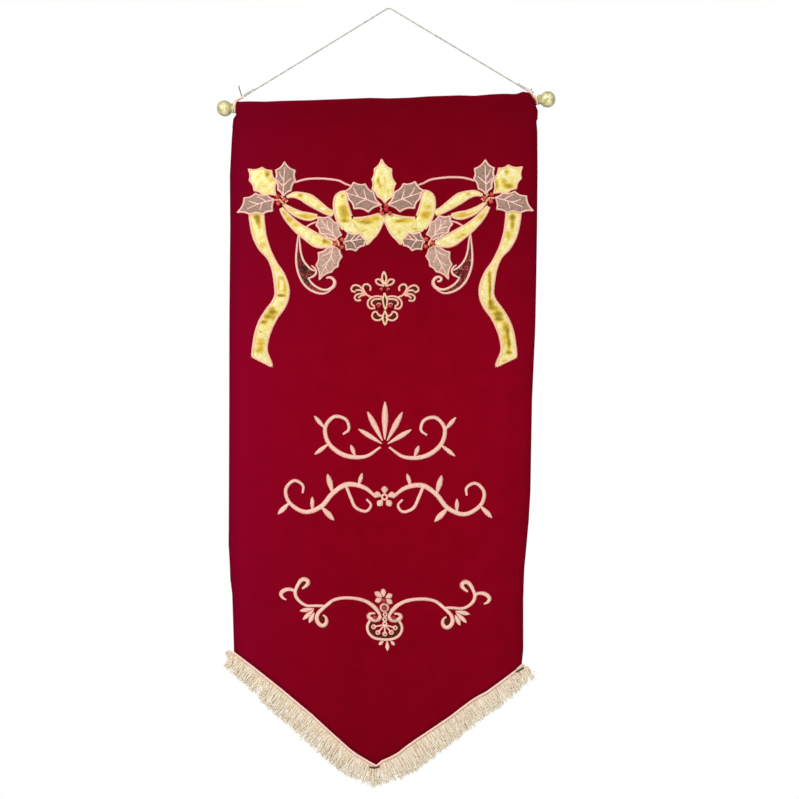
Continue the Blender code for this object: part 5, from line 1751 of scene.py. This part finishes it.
# Dark stitches inside the basket, curls and rings are painted shade.
LOWER_SHADES = (
    ((-14, -810.5, 2), (-19.5, -815, 4), (-19.6, -823, 4.2), (-12.5, -830.6, 4), (-4, -833.4, 3.6),
     (2.5, -834, 3.4)),
    ((-129.6, -753.6, 2), (-127.2, -750.6, 4.2), (-124.4, -748.6, 2.6)),
    ((-96.2, -801.6, 2), (-97, -806, 5), (-96.2, -810.6, 3)),
)
lower_shades = twins(LOWER_SHADES, LOWER_LINE)
lower_shades += [[(x, z + up, width) for up, width in SHADE_DOT]
                for x, z, *_ in (*BASKET_LOOPS, *LOWER_RINGS[1:])]
foot_x, foot_z = BASKET_FOOT
thin, thick = BASKET_SPOKE
spokes = [((foot_x, foot_z, thin), ((foot_x + x) / 2, (foot_z + z) / 2, thick), (x, z, thin))
          for x, z in BASKET_LOOPS]
heart_x, heart_z = BLOOM_HEART
blooms = [petal(((heart_x * 2 + x) / 3, (heart_z * 2 + z) / 3),
                (x * (1 + BLOOM_REACH) - heart_x * BLOOM_REACH,
                 z * (1 + BLOOM_REACH) - heart_z * BLOOM_REACH), BLOOM_WIDTH) for x, z in BLOOM]
applique += [
    satin("lower_ornament_fills", [flowing(rows, SHADE_RISE) for rows in lower_shades], SHADE_THREAD, 50),
    satin("lower_ornament", lines(*twins(LEFT_HALF, LOWER_LINE), *BASKET, *spokes, *blooms)
          + [ring(*round_loop) for round_loop in LOWER_RINGS]
          + [ring(x, z, *BASKET_RING) for x, z in BASKET_LOOPS], PEACH_THREAD, 47),
    add_piece("lower_ornament_beads", bead_mesh(LOWER_BEADS, BEAD_LIFT), RUBY_BEAD),
]


# Room. The banner hangs before a bright white wall far behind it, over a pale floor that keeps below
# the picture, in wide soft light with one larger lamp at the upper left.
FLOOR_HEIGHT = -1.9
FLOOR_RADIUS = 1.3
FLOOR_SIDES = 96
ROOM_LIGHT = 0.86
LAMP_AIM = (0.0, 0.0, -0.6)
LAMPS = (
    # place, watts, size
    ((-1.3, -1.7, 0.8), 33, 0.7),
    ((1.9, -1.8, -0.2), 6.8, 1.6),
)

body = bmesh.new()
bmesh.ops.create_circle(body, cap_ends=True, segments=FLOOR_SIDES, radius=FLOOR_RADIUS)
bmesh.ops.translate(body, verts=body.verts, vec=(0.0, 0.0, FLOOR_HEIGHT))
floor = bpy.data.objects.new("floor", smooth_mesh(body))
scene.collection.objects.link(floor)
floor.data.materials.append(mottled_material("floor paint", 0.8, dye(240, 240, 238), dye(232, 232, 230),
                                             2.0)[0])

world = bpy.data.worlds.new("room")
world.use_nodes = True
scene.world = world
tree = world.node_tree
tree.nodes.clear()
seen, around = [made(tree, "ShaderNodeBackground", {"Color": (1, 1, 1, 1), "Strength": strength})
                for strength in (1.0, ROOM_LIGHT)]
ray = made(tree, "ShaderNodeLightPath", (), "Is Camera Ray")
both = made(tree, "ShaderNodeMixShader", {0: ray, 1: around, 2: seen})
add_node(tree, "ShaderNodeOutputWorld", {"Surface": both})

for spot, (place, watts, size) in enumerate(LAMPS):
    lamp = bpy.data.lights.new("lamp_" + str(spot), "AREA")
    lamp.energy = watts
    lamp.size = size
    holder = bpy.data.objects.new("lamp_" + str(spot), lamp)
    holder.location = place
    aim = Vector(LAMP_AIM) - Vector(place)
    holder.rotation_euler = aim.to_track_quat("-Z", "Y").to_euler()
    scene.collection.objects.link(holder)
